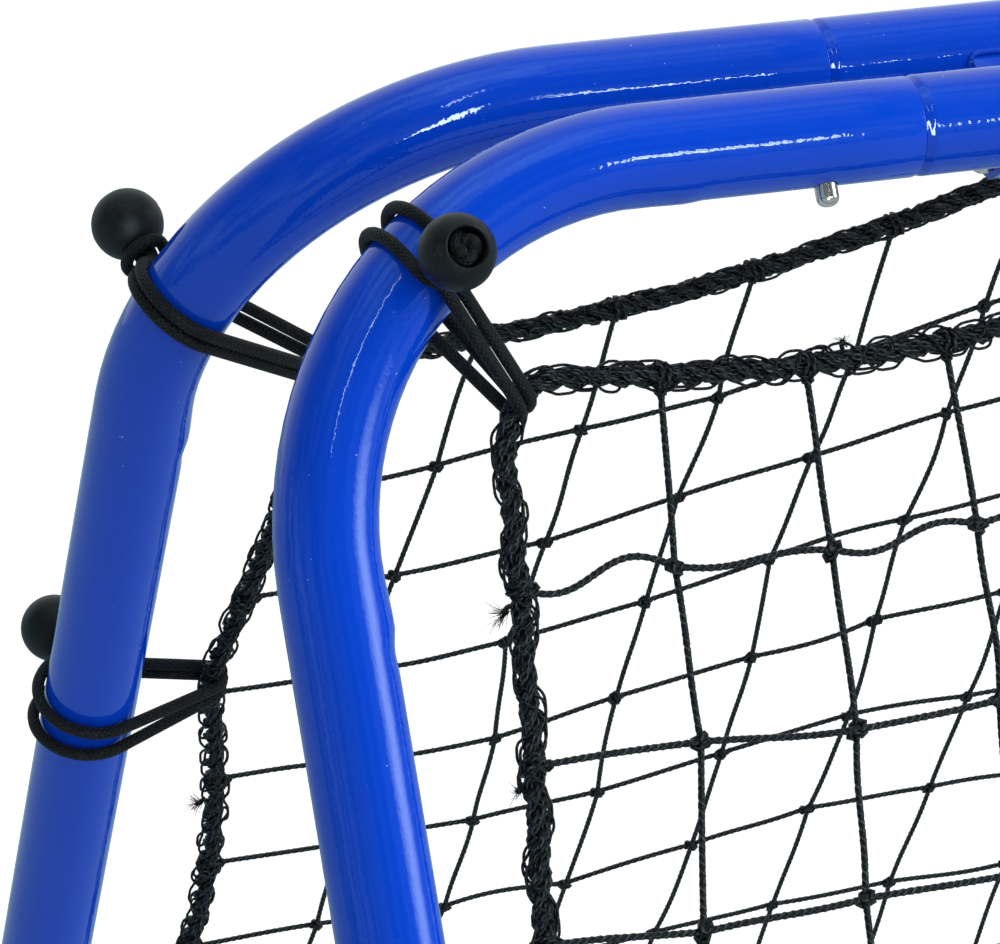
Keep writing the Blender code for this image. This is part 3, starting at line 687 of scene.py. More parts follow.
def bend_move(dx, dz, ripple):
    """How the skin moves at a place counted from a bend's centre: outer side flatter, ripples inside."""
    from_centre = Vector((max(dx, 0), max(dz, 0))).length
    if dx >= 0 and dz >= 0:
        run_out = min(math.atan2(dz, dx), math.atan2(dx, dz)) * CORNER_R
        spoke = Vector((dx, dz)).normalized()
    else:
        run_out, spoke = (dx, Vector((0, 1))) if dx < 0 else (dz, Vector((1, 0)))
    width = BULGE_IN_BEND if run_out > BULGE_AT else BULGE_BEFORE
    bulge = ripple * math.exp(-((run_out - BULGE_AT) / width) ** 2)
    dip = -0.5 * ripple * math.exp(-((run_out - DIP_AT) / DIP_WIDTH) ** 2)
    if dx < 0:
        bulge, dip = RAIL_SHARE[0] * bulge, RAIL_SHARE[1] * dip
    flat = 0.35 * ripple * min(1.0, max(0.0, run_out / 0.03))
    inner = max(0.0, CORNER_R - from_centre) / TUBE_R
    outer = max(0.0, from_centre - CORNER_R) / TUBE_R
    return -((bulge + dip) * inner**3 + flat * outer**2) * spoke


def shape_bends(tube, side, ripple):
    """Gives both bends of a side tube the marks of a bending tool."""
    for vertex in tube.data.vertices:
        x, z = side * vertex.co.x, vertex.co.z
        for centre_z, up in ((-CORNER_R, 1), (CORNER_R - SLANT, -1)):
            dx, dz = x - (POST_X - CORNER_R), (z - centre_z) * up
            if dx > -0.03 and dz > -0.036:
                move = bend_move(dx, dz, ripple)
                vertex.co.x += side * move.x
                vertex.co.z += up * move.y


def give_wall(tube, axis_point):
    """Wall inwards from the outer skin, after the skin is made to face out."""
    face = min(tube.data.polygons, key=lambda p: (p.center - axis_point).length)
    spoke = face.center - axis_point
    spoke.x = 0
    if face.normal.dot(spoke) < 0:
        edit_all(tube)
        bpy.ops.mesh.flip_normals()
    apply_modifier(tube, "SOLIDIFY", thickness=TUBE_WALL, offset=-1.0, use_even_offset=False)


def round_ends(tube, plane, amount):
    """Rounds both cut ends of a tube, which lie on one x plane."""
    edit(tube, "EDGE")
    bpy.ops.mesh.select_all(action="DESELECT")
    bpy.ops.object.mode_set(mode="OBJECT")
    mesh = tube.data
    for rim in mesh.edges:
        rim.select = all(abs(mesh.vertices[i].co.x - plane) < 1e-5 for i in rim.vertices)
    bpy.ops.object.mode_set(mode="EDIT")
    bpy.ops.mesh.bevel(offset=amount, segments=3, affect="EDGES", clamp_overlap=True)
    bpy.ops.object.mode_set(mode="OBJECT")


def drill(tube, side, level):
    """Hole for the snap button through one wall."""
    up = -1 if level == "top" else 1
    down = 0 if level == "top" else SLANT
    deselect()
    bpy.ops.mesh.primitive_cylinder_add(
        vertices=48, radius=BUTTON_HOLE_D / 2, depth=TUBE_R * 1.4,
        location=(side * (SEAM_X + BUTTON_FROM_SEAM), 0, up * TUBE_R - down),
    )
    drill_bit = settle()
    cut(tube, drill_bit)


def rail_stations():
    """Places and radii from a rail's spigot, over its rounded shoulder, to the plain tube."""
    hole = SEAM_X + BUTTON_FROM_SEAM
    shoulder = SEAM_X - TOUCH - 0.0002
    stations = [(x, SPIGOT_R) for x in (SEAM_X + SPIGOT_LENGTH, hole + HOLE_MARGIN, hole - HOLE_MARGIN)]
    stations += [(SEAM_X - TOUCH, SPIGOT_R), (shoulder, TUBE_R - 0.0010)]
    for step in range(1, 9):
        t = step / 8
        blend = (1 - math.cos(math.pi * t)) / 2
        stations.append((shoulder - SHOULDER_LENGTH * t, TUBE_R - 0.0009 * (1 - blend)))
    return stations + [(shoulder - SHOULDER_LENGTH - 0.0010, TUBE_R)]


def model_rail(down):
    """Rail with a swaged spigot and a rounded shoulder at each end."""
    stations = rail_stations()
    stations = [(-x, r) for x, r in stations] + stations[::-1]
    x, radius = stations[0]
    rail = start_tube(x, -down, radius)
    for next_x, next_radius in stations[1:]:
        extrude(next_x - x, 0, 0)
        ratio = next_radius / radius
        bpy.ops.transform.resize(value=(1, ratio, ratio), center_override=(next_x, 0, -down))
        x, radius = next_x, next_radius
    face_outwards()
    bpy.ops.object.mode_set(mode="OBJECT")
    return rail


class REBOUNDER_OT_frame_tubes(bpy.types.Operator):
    """Models the painted side tubes and rails of both frames"""

    bl_idname = "rebounder.frame_tubes"
    bl_label = "Frame tubes"

    def execute(self, context):
        settings = context.scene.rebounder_tubes
        made = {}
        for side, word in SIDES:
            tube = model_side_tube(side, settings.bend_bulge)
            give_wall(tube, Vector((side * (SEAM_X + 0.01), 0, 0)))
            round_ends(tube, side * SEAM_X, settings.seam_round)
            for level in ("top", "bottom"):
                drill(tube, side, level)
            smooth(tube, 35)
            if abs(max(side * v.co.x for v in tube.data.vertices) - POST_X - TUBE_R) > 0.002:
                raise RuntimeError("a side tube bends the wrong way")
            made[f"side_tube_{word}"] = tube
        for level, down in (("top", 0), ("bottom", SLANT)):
            rail = model_rail(down)
            give_wall(rail, Vector((0, 0, -down)))
            for side in (-1, 1):
                drill(rail, side, level)
            smooth(rail, 35)
            made[f"{level}_rail"] = rail
        for prefix, panel in PANELS.items():
            for word, base in made.items():
                node, body = f"{prefix}_{word}", f"{prefix}_frame"
                copy_placed(base, f"painted_{node}", panel, paint(), body, [node])
        remove(*made.values())
        return {"FINISHED"}


# Snap buttons
def model_pin():
    """Domed pin on its flange, about Z, with the tube's outer surface at z = 0."""
    pin_r, flange_r, edge = BUTTON_D / 2, BUTTON_FLANGE_D / 2, 0.0003
    top = SPIGOT_R - TUBE_WALL - BUTTON_FLANGE_H - TUBE_R
    low = top - BUTTON_FLANGE_H
    profile = [
        (flange_r - edge, low), (flange_r, low + edge), (flange_r, top - edge), (flange_r - edge, top),
        (pin_r, top),
    ]
    for step in range(12):
        angle = math.radians(90 * step / 12)
        fall = 0.8 * pin_r * (1 - math.sin(angle))
        profile.append((pin_r * math.cos(angle) ** 0.8, BUTTON_REACH - fall))
    return turn_up("pin", profile + [(pin_r * 0.02, BUTTON_REACH)])


class REBOUNDER_OT_snap_buttons(bpy.types.Operator):
    """Models the polished snap buttons and finishes the leaf springs that carry them"""

    bl_idname = "rebounder.snap_buttons"
    bl_label = "Snap buttons"

    def execute(self, context):
        base = model_pin()
        leaf = material_of("spring_leaf", bright_steel, (0.30, 0.30, 0.32), 0.32)
        for prefix, panel in PANELS.items():
            for level, down, surface, turn in (
                ("top", 0, -TUBE_R, math.pi), ("bottom", SLANT, TUBE_R, 0.0)
            ):
                for side, word in SIDES:
                    name = f"{prefix}_{level}_{word}"
                    place = in_plane(side * (SEAM_X + BUTTON_FROM_SEAM), down) + Vector((0, 0, surface))
                    matrix = panel @ Matrix.Translation(place) @ Matrix.Rotation(turn, 4, "Y")
                    node = f"snap_button_{name}"
                    copy_placed(base, f"polished_{node}", matrix, steel(), node, [node])
                    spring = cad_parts[f"button_spring_{name}"]
                    for held in spring.material_slots:
                        held.material = leaf
        remove(base)
        return {"FINISHED"}


# Hinge
# Weld bead: how far it reaches round the rail on both sides of the pivot, its radius, step and ripples
BEAD_REACH = (math.radians(35), math.radians(48.5))
BEAD_R = 0.0012
BEAD_STEP = 0.0005
BEAD_RIPPLE = 0.0021
NUT_BORE_R = 0.00415
HEX_FACE_R = HEX_ACROSS_CORNERS * 0.43
HEX_CHAMFER = 0.0008
THREAD_LENGTH = 0.014
THREAD_PITCH = 0.0010
THREAD_DEPTH = 0.0006


def weld_bead(sign, x, half_width):
    """Rippled bead round the foot of a bracket, lying on the rail."""
    rail = np.array((x, sign * RAIL_Y, RAIL_Z))
    to_pivot = math.atan2(-HINGE_DROP, -sign * RAIL_Y)
    angles = np.linspace(to_pivot + sign * BEAD_REACH[0], to_pivot - sign * BEAD_REACH[1], 24)
    radius = TUBE_R + 0.0002
    edge = half_width + 0.0001
    arc = [(radius * math.cos(angle), radius * math.sin(angle)) for angle in angles]
    loop = [rail + np.array((edge, *place)) for place in arc]
    loop += [rail + np.array((-edge, *place)) for place in arc[::-1]]
    points = relax(resample(loop, BEAD_STEP), 40)
    along = BEAD_STEP * np.arange(len(points))
    size = BEAD_R * (1 + 0.10 * np.sin(2 * math.pi * along / BEAD_RIPPLE))
    return {"points": points, "radius": size, "closed": True}


def model_bracket(node):
    """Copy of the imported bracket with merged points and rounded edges."""
    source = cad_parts[node]
    thing = add_object("bracket", source.data.copy())
    thing.data.transform(source.matrix_world)
    edit_all(thing, "VERT")
    bpy.ops.mesh.remove_doubles(threshold=WELD)
    bpy.ops.mesh.dissolve_limited(angle_limit=math.radians(1))
    bpy.ops.object.mode_set(mode="OBJECT")
    bevel_corners(thing, 0.0006, 3, 40)
    smooth(thing, 35)
    return thing


def model_hex(height, bore):
    """Hexagon with both faces' corners turned off, standing on z = 0."""
    deselect()
    bpy.ops.mesh.primitive_cylinder_add(
        vertices=6, radius=HEX_ACROSS_CORNERS / 2, depth=height, location=(0, 0, height / 2)
    )
    body = settle()
    wide = HEX_FACE_R * 1.17
    turned = [
        (HEX_FACE_R, -1e-5), (wide, HEX_CHAMFER), (wide, height - HEX_CHAMFER),
        (HEX_FACE_R, height + 1e-5),
    ]
    cut(body, turn_up("chamfer", turned), "INTERSECT")
    if bore:
        cut(body, turn_up("hole", [(bore, -0.01), (bore, height + 0.01)]))
    bevel_corners(body, 0.00025, 2, 25)
    smooth(body, 30)
    return body


def model_shank(grip):
    """Bolt shank with a rolled thread on its end, from z = 0 under the head."""
    end = 2 * grip + NUT_H + BOLT_PROUD
    radius = BOLT_D / 2
    height = end - THREAD_LENGTH
    profile = [(radius, 0), (radius, height)]
    while height < end - 0.0014:
        profile += [(radius - THREAD_DEPTH, height + 0.0004), (radius - 0.00005, height + 0.0009)]
        height += THREAD_PITCH
    profile += [(radius - 0.0007, end - 0.0002), (radius - 0.0012, end)]
    return turn_up("shank", profile)


class REBOUNDER_OT_hinges(bpy.types.Operator):
    """Rounds and welds the hinge brackets and models their bolts and nuts"""

    bl_idname = "rebounder.hinges"
    bl_label = "Hinges"

    def execute(self, context):
        grip = BRACKET_HALF_WIDTH + TOUCH
        head = model_hex(BOLT_HEAD_H, 0)
        nut = model_hex(NUT_H - 2 * TOUCH, NUT_BORE_R)
        shank = model_shank(grip)
        for side, word in SIDES:
            x = side * HINGE_X
            for prefix, sign in (("front", -1), ("rear", 1)):
                node = f"hinge_bracket_{prefix}_{word}"
                width = BRACKET_HALF_WIDTH - (BRACKET_PLATE + TOUCH if prefix == "rear" else 0)
                bracket = model_bracket(node)
                body = f"{prefix}_frame"
                finish_piece(bracket, f"painted_{node}", paint(), body, [node])
                bead = sweep("bead", [weld_bead(sign, x, width)], 10)
                finish_piece(bead, f"weld_{prefix}_{word}", paint(), body)
            about = Matrix.Rotation(0 if side < 0 else math.pi, 4, "Z")
            along = Matrix.Translation((x, 0, PIVOT_Z)) @ about @ Matrix.Rotation(math.pi / 2, 4, "Y")
            for base, name, shift, node in (
                (head, "bolt_head", -grip - BOLT_HEAD_H, "hinge_bolt"),
                (shank, "bolt_shank", -grip, "hinge_bolt"),
                (nut, "nut", grip, "hinge_nut"),
            ):
                matrix = along @ Matrix.Translation((0, 0, shift))
                nodes = [f"{node}_{word}"]
                copy_placed(base, f"{name}_{word}", matrix, steel(), "rear_frame", nodes)
        remove(head, nut, shank)
        return {"FINISHED"}


# Border rope and net, drawn in a frame's own plane. The left upper corner hangs lower than the right.
SPAN_STEPS = 40
ROPE_STEP = 0.0030
# Shares: a strand's radius of the rope's diameter, a yarn's radius and turns of its strand's
STRAND_SHARE, YARN_SHARE, YARN_TURNS = 0.245, 0.46, 0.45
LACING_STEP = 0.0015
LACING_PERIOD = 0.037
LACING_EXTRA = (0, 1, -1, 2)
# Cut twine ends: side and distance down, or level and x, then seed and size
SIDE_FRAYS = ((1, 0.1555, 3, 1.25), (1, 0.219, 5, 0.7), (-1, 0.395, 8, 1), (-1, 0.705, 9, 1))
LEVEL_FRAYS = (("top", 0.380, 4, 0.6), ("bottom", 0.33, 6, 1), ("top", 0.10, 7, 1))
FRAY_FILAMENTS = 48
FRAY_STAND_OFF = 0.004


def corner_point(side, level):
    if level == "bottom":
        return Vector((side * (POST_X - NET_CORNER_IN), SLANT - NET_CORNER_DOWN))
    down = LOW_CORNER_DOWN if side < 0 else NET_CORNER_DOWN
    return Vector((side * (POST_X - NET_CORNER_IN), down))


def sagging_span(start, end, sag):
    """Points from start towards end, which isn't among them, with the sag at half way."""
    points = []
    for step in range(SPAN_STEPS):
        t = step / SPAN_STEPS
        points.append(start.lerp(end, t) + 4 * t * (1 - t) * sag)
    return points


def rope_side_points(side):
    """The rope beside a post, from the upper corner to the lower one."""
    upper = Vector((side * (POST_X - TIE_REACH), UPPER_TIE_DOWN))
    lower = Vector((side * (POST_X - TIE_REACH), LOWER_TIE_DOWN))
    top = corner_point(side, "top") + Vector((side * ROPE_CORNER_R * 0.41, ROPE_CORNER_R * 0.59))
    bottom = corner_point(side, "bottom") + Vector((side * ROPE_CORNER_R * 0.41, -ROPE_CORNER_R * 0.59))
    inward = Vector((-side, 0))
    points = sagging_span(top, upper, POST_END_SAG * inward)
    points += sagging_span(upper, lower, POST_SAG * inward)
    return points + sagging_span(lower, bottom, POST_END_SAG * inward) + [bottom]


def rope_level_points(level):
    """The rope beside a rail, from left to right."""
    sign, edge = (1, 0) if level == "top" else (-1, SLANT)
    inward = Vector((0, sign))
    ties, ends = [], []
    for side in (-1, 1):
        ties.append(Vector((side * TOP_TIE_X, edge + sign * TIE_REACH)))
        shift = Vector((-side * ROPE_CORNER_R * 0.59, -sign * ROPE_CORNER_R * 0.41))
        ends.append(corner_point(side, level) + shift)
    points = sagging_span(ends[0], ties[0], OUTER_SAG * inward)
    points += sagging_span(*ties, MIDDLE_SAG * inward)
    return points + sagging_span(ties[1], ends[1], OUTER_SAG * inward) + [ends[1]]


def rope_centre(step):
    """Closed centre line of the border rope, its corners and ties rounded."""
    loop = [corner_point(-1, "top")] + rope_level_points("top") + [corner_point(1, "top")]
    loop += rope_side_points(1) + [corner_point(1, "bottom")] + rope_level_points("bottom")[::-1]
    loop += [corner_point(-1, "bottom")] + rope_side_points(-1)[::-1]
    return relax(resample([in_plane(*point) for point in loop], step), int(60 * (0.002 / step) ** 2))


def on_line(points, axis, value):
    """Where a drawn line crosses a value of x (axis 0) or of the distance down (axis 1)."""
    for first, second in zip(points, points[1:]):
        low, high = sorted((first[axis], second[axis]))
        if low <= value <= high and high > low:
            return first.lerp(second, (value - first[axis]) / (second[axis] - first[axis]))
    raise ValueError(f"{value} is off the line")


def border_lines():
    """Where each twine meets the border rope."""
    lines = {}
    for level in ("top", "bottom"):
        drawn = rope_level_points(level)
        left, right = (corner_point(side, level) for side in (-1, 1))
        across = [left.x + (right.x - left.x) * i / CELLS_ACROSS for i in range(1, CELLS_ACROSS)]
        lines[level] = [left, *(on_line(drawn, 0, x) for x in across), right]
    for side, name in SIDES:
        drawn = rope_side_points(side)
        bottom = corner_point(side, "bottom")
        first = LOW_CORNER_ROW if side < 0 else HIGH_CORNER_ROW
        downs = [first + (bottom.y - first) * (k - 1) / (CELLS_DOWN - 1) for k in range(1, CELLS_DOWN)]
        lines[name] = [corner_point(side, "top"), *(on_line(drawn, 1, down) for down in downs), bottom]
    return lines


# How far knots near the two upper corners have crept from an even net, in millimetres: across, down
CREEP = {
    (1, 1): (5.7, -0.2), (2, 1): (8.3, -3.6), (1, 2): (5.7, 5.9), (2, 2): (11.7, 4.6),
    (3, 2): (8.4, -2.1), (4, 2): (7.2, -3.1), (2, 3): (10.8, 6.8), (3, 3): (12.1, 2.2),
    (4, 3): (6.0, -3.2), (5, 3): (5.9, -3.0), (2, 4): (7.9, 12.1), (3, 4): (1.7, 3.8),
    (4, 4): (3.1, -0.9), (5, 4): (-0.5, -3.4), (3, 5): (3.5, 8.1), (4, 5): (1.3, 1.2),
    (5, 5): (1.3, -4.5), (6, 5): (1.0, 0.6), (3, 6): (2.0, 11.2), (4, 6): (1.8, 2.3),
    (5, 6): (-2.2, -6.3), (6, 6): (-0.3, -3.9), (17, 1): (-2.2, -0.6), (16, 1): (-5.7, -1.6),
    (15, 1): (-6.4, -2.2), (17, 2): (-5.6, -0.2), (16, 2): (-7.2, 1.6), (15, 2): (-6.3, -0.4),
    (17, 3): (-1.0, 3.8), (16, 3): (-5.1, -0.5),
}


def creep(i, k):
    """The creep of a knot; knots beside the known ones share it and it fades away from them."""
    if (i, k) in CREEP:
        return Vector(CREEP[i, k]) / 1000
    total = Vector((0, 0))
    weight = 0.0
    for (a, b), drift in CREEP.items():
        near = math.exp(-((a - i) ** 2 + (b - k) ** 2) / 1.6)
        total += near * Vector(drift) / 1000
        weight += near
    return total / max(1.0, weight)


def net_places():
    """Every crossing of the net: x across, down the slope."""
    lines = border_lines()
    places = {}
    for i in range(CELLS_ACROSS + 1):
        for k in range(CELLS_DOWN + 1):
            s, t = i / CELLS_ACROSS, k / CELLS_DOWN
            point = (1 - t) * lines["top"][i] + t * lines["bottom"][i]
            point += (1 - s) * lines["left"][k] + s * lines["right"][k]
            for side, across in ((-1, 1 - s), (1, s)):
                for level, down in (("top", 1 - t), ("bottom", t)):
                    point -= across * down * corner_point(side, level)
            if 0 < i < CELLS_ACROSS and 0 < k < CELLS_DOWN:
                point += creep(i, k)
            places[i, k] = point
    return places


def model_rope():
    """Border rope closed on itself: three strands, each of four yarns."""
    settings = bpy.context.scene.rebounder_twines
    centre = rope_centre(ROPE_STEP)
    count = len(centre)
    share = np.arange(count) / count
    _, first, second = run_frame(centre, True, OUT)
    strand_r = settings.rope_d * STRAND_SHARE
    yarn_r = strand_r * YARN_SHARE
    turns = round(ROPE_STEP * count / settings.rope_pitch)
    generator = random.Random(5)

    def wander(rounds):
        """Smooth noise along the rope, up to 1 either way."""
        noise = np.array([generator.uniform(-1, 1) for _ in centre])
        noise = relax(noise[:, None], rounds)[:, 0]
        return noise / max(abs(noise))

    runs = []
    for strand in range(3):
        turn = 2 * math.pi * (turns * share + strand / 3)
        reach = (settings.rope_d / 2 - strand_r) * (1 + 0.22 * wander(6))
        for yarn in range(4):
            inner = turn + 2 * math.pi * (round(turns * YARN_TURNS) * share + yarn / 4)
            offset = (strand_r - yarn_r) * (1.05 + 0.35 * wander(5))
            x = reach * np.cos(turn) + offset * np.cos(inner)
            y = reach * np.sin(turn) + offset * np.sin(inner)
            points = centre + x[:, None] * first + y[:, None] * second
            runs.append({"points": points, "radius": yarn_r * (1 + 0.16 * wander(4)), "closed": True})
    return sweep("rope", runs, 6)


def lacing_stations(generator, first, periods, length, hand, lie):
    """Distance along the rope, angle round it and height of one lacing twine, loop by loop."""
    stations = []
    for m in range(periods):
        for half in range(2):
            at = (m + first) * length + half * length / 2 + generator.uniform(-0.0015, 0.0015)
            side = hand * math.pi * (2 * m + half) + math.pi / 2 + generator.uniform(-0.25, 0.25)
            bow = generator.uniform(0.0007, 0.0017) if generator.random() < 0.8 else 0.0001
            stretch = generator.uniform(0.0085, 0.0130)
            stations += [
                (at, side - 0.10 * hand, lie - 0.0008),
                (at + 0.16 * stretch, side - 0.03 * hand, lie + 0.95 * bow),
                (at + 0.50 * stretch, side, lie + 1.05 * bow),
                (at + 0.84 * stretch, side + 0.03 * hand, lie + 0.95 * bow),
                (at + stretch, side + 0.10 * hand, lie - 0.0008),
                (at + stretch + 0.003, side + 0.95 * hand, lie + 0.0003),
            ]
    return np.array(stations).T


def model_lacing():
    """Thin twines wound on the rope: chains of flat loops along both its sides, crossing in between."""
    settings = bpy.context.scene.rebounder_twines
    centre = rope_centre(LACING_STEP)
    along = LACING_STEP * np.arange(len(centre))
    total = LACING_STEP * len(centre)
    _, first, second = run_frame(centre, True, OUT)
    lie = settings.rope_d / 2 + settings.lacing_d * 0.1
    runs = []
    for lacing, extra in enumerate(LACING_EXTRA):
        periods = round(total / LACING_PERIOD) + extra
        hand = 1 if lacing % 2 == 0 else -1
        generator = random.Random(11 + lacing)
        places, turns, reaches = lacing_stations(
            generator, 0.25 * lacing, periods, total / periods, hand, lie
        )
        whole = 2 * math.pi * periods * hand
        places = np.concatenate((places - total, places, places + total))
        turns = np.concatenate((turns - whole, turns, turns + whole))
        angle = np.interp(along, places, turns)
        reach = np.interp(along, places, np.tile(reaches, 3))
        points = centre + (reach * np.cos(angle))[:, None] * first
        points += (reach * np.sin(angle))[:, None] * second
        runs.append({"points": relax(points, 1), "radius": settings.lacing_d / 2, "closed": True})
    return sweep("lacing", runs, 5)


def fray_runs(point, direction, across, seed, size):
    """A cut twine end: a short stub and a tuft of fine filaments."""
    generator = random.Random(seed)
    point, direction, across = (np.array(item, dtype=float) for item in (point, direction, across))
    lift = np.cross(direction, across)
    stub = [point + direction * 0.0007 * i - across * 0.0003 * i * i / 4 for i in range(6)]
    tip = stub[-1]
    runs = [{"points": np.array(stub), "radius": np.linspace(0.0011, 0.0013, 6)}]
    for _ in range(round(FRAY_FILAMENTS * size)):
        way = direction + (across * generator.uniform(-0.9, 0.9) + lift * generator.uniform(-0.9, 0.9))
        way /= math.sqrt(way.dot(way))
        length = generator.uniform(0.002, 0.0060) * size
        bend = (across * generator.uniform(-1, 1) + lift * generator.uniform(-1, 1)) * 0.003
        root = tip - direction * generator.uniform(0.0, 0.003)
        line = [root + way * length * t + bend * t * t for t in np.linspace(0, 1, 6)]
        runs.append({"points": np.array(line), "radius": np.linspace(0.00013, 0.00007, 6)})
    return runs


def model_frays():
    """Cut ends that stand off the border rope."""
    runs = []
    ends = [
        (on_line(rope_side_points(side), 1, down), (side * 0.97, 0, -0.25), (0, 0, 1), seed, size)
        for side, down, seed, size in SIDE_FRAYS
    ]
    ends += [
        (on_line(rope_level_points(level), 0, x), (0.35, 0, 0.94), (1, 0, 0), seed, size)
        for level, x, seed, size in LEVEL_FRAYS
    ]
    for edge, direction, across, seed, size in ends:
        direction = Vector(direction)
        runs += fray_runs(in_plane(*edge) + direction * FRAY_STAND_OFF, direction, across, seed, size)
    return sweep("frays", runs, 3)


class REBOUNDER_OT_border_ropes(bpy.types.Operator):
    """Models the laid border ropes with their lacing twine and cut ends"""

    bl_idname = "rebounder.border_ropes"
    bl_label = "Border ropes"

    def execute(self, context):
        made = (
            ("laid_rope", model_rope(), rope_twine), ("rope_lacing", model_lacing(), net_twine),
            ("frayed_ends", model_frays(), net_twine),
        )
        for prefix, panel in PANELS.items():
            for name, base, finish in made:
                nodes = [f"{prefix}_border_rope"] if name == "laid_rope" else []
                copy_placed(
                    base, f"{name}_{prefix}", panel, finish(), f"{prefix}_frame", nodes
                )
        remove(*(base for _, base, _ in made))
        return {"FINISHED"}


# Net
TWINE_STEP = 0.00112
TWINE_APART = 0.0006
# Bow and snake of the kinked pieces of the uppermost twine, by cell
KINKS = {17: (0.002, 0.0045), 16: (-0.0006, 0.0014), 15: (0.0, 0.0032)}
KNOT_TWINE_R = 0.00116
HITCH_TWINE_R = 0.00105
HITCH_TURNS = 2.1


def twine_line(start, end, bow, lift, snake, steps):
    """Points from one knot to the next with a slight bow in the plane and across it."""
    t = np.linspace(0, 1, steps + 1)[:-1, None]
    start, end = np.array(start), np.array(end)
    along = end - start
    aside = np.array((-along[2], 0, along[0])) / math.sqrt(along.dot(along))
    points = start + t * along
    points += np.sin(math.pi * t) * (bow * aside + lift * np.array((0.0, 1.0, 0.0)))
    return points + np.sin(2 * math.pi * t) * snake * aside


def model_twines(axis, places, share):
    """All the twines that run one way, each one run from rope to rope; share thins them."""
    settings = bpy.context.scene.rebounder_twines
    generator = random.Random(21 + axis)
    cells, lines = (CELLS_ACROSS, CELLS_DOWN) if axis == 0 else (CELLS_DOWN, CELLS_ACROSS)
    offset = Vector((0, TWINE_APART if axis == 0 else -TWINE_APART, 0))
    lay = 2 * math.pi / settings.twine_pitch
    runs = []
    for line in range(1, lines):
        knots = [(cell, line) if axis == 0 else (line, cell) for cell in range(cells + 1)]
        knots = [in_plane(*places[knot]) + offset for knot in knots]
        points = []
        for cell, (start, end) in enumerate(zip(knots, knots[1:])):
            bow = generator.gauss(0, 0.0007)
            snake = generator.gauss(0, 0.0003)
            if axis == 0 and line == 1:
                bow, snake = KINKS.get(cell, (bow, snake))
            steps = max(8, round((end - start).length / TWINE_STEP))
            points.append(twine_line(start, end, bow, generator.gauss(0, 0.0008), snake, steps))
        points = np.vstack(points)
        swell = np.array([generator.uniform(0.95, 1.04) for _ in points])
        radius = share * settings.twine_d / 2 * swell
        runs.append({"points": points, "radius": radius, "up": OUT, "lobe": 0.13, "lay": lay})
    return sweep("twines", runs, 8)


def knot_base():
    """A pulled-tight knot of a few small turns: points of one closed run."""
    t = np.linspace(0, 2 * math.pi, 18, endpoint=False)
    reach = 1.75 + 0.95 * np.cos(3 * t)
    turned = (reach * np.cos(2 * t) * 1.2, 1.1 * np.sin(3 * t), reach * np.sin(2 * t) * 0.85)
    points = np.stack(turned, axis=1) * 0.001
    return sweep("knot", [{"points": points, "radius": KNOT_TWINE_R, "closed": True}], 4)


def hitch_base(radius):
    """Two turns of twine about the X axis, slanting, its ends drawn in."""
    t = np.linspace(0, 1, 19)
    angle = 2 * math.pi * HITCH_TURNS * t
    reach = radius - 0.0012 * (2 * t - 1) ** 8
    shift = 0.0058 * (t - 0.5) + 0.0016 * np.sin(angle)
    points = np.stack((shift, reach * np.cos(angle), reach * np.sin(angle)), axis=1)
    return sweep("hitch", [{"points": points, "radius": HITCH_TWINE_R}], 4)


def mesh_arrays(base):
    """Vertices, quads and UVs of a small base shape, which is removed."""
    mesh = base.data
    corners = np.array([tuple(v.co) for v in mesh.vertices])
    quads = [p for p in mesh.polygons if len(p.vertices) == 4]
    faces = np.array([tuple(p.vertices) for p in quads])
    loops = np.array([i for p in quads for i in p.loop_indices])
    uv = np.array([tuple(item.uv) for item in mesh.uv_layers["Run"].data])[loops]
    remove(base)
    return corners, faces, uv


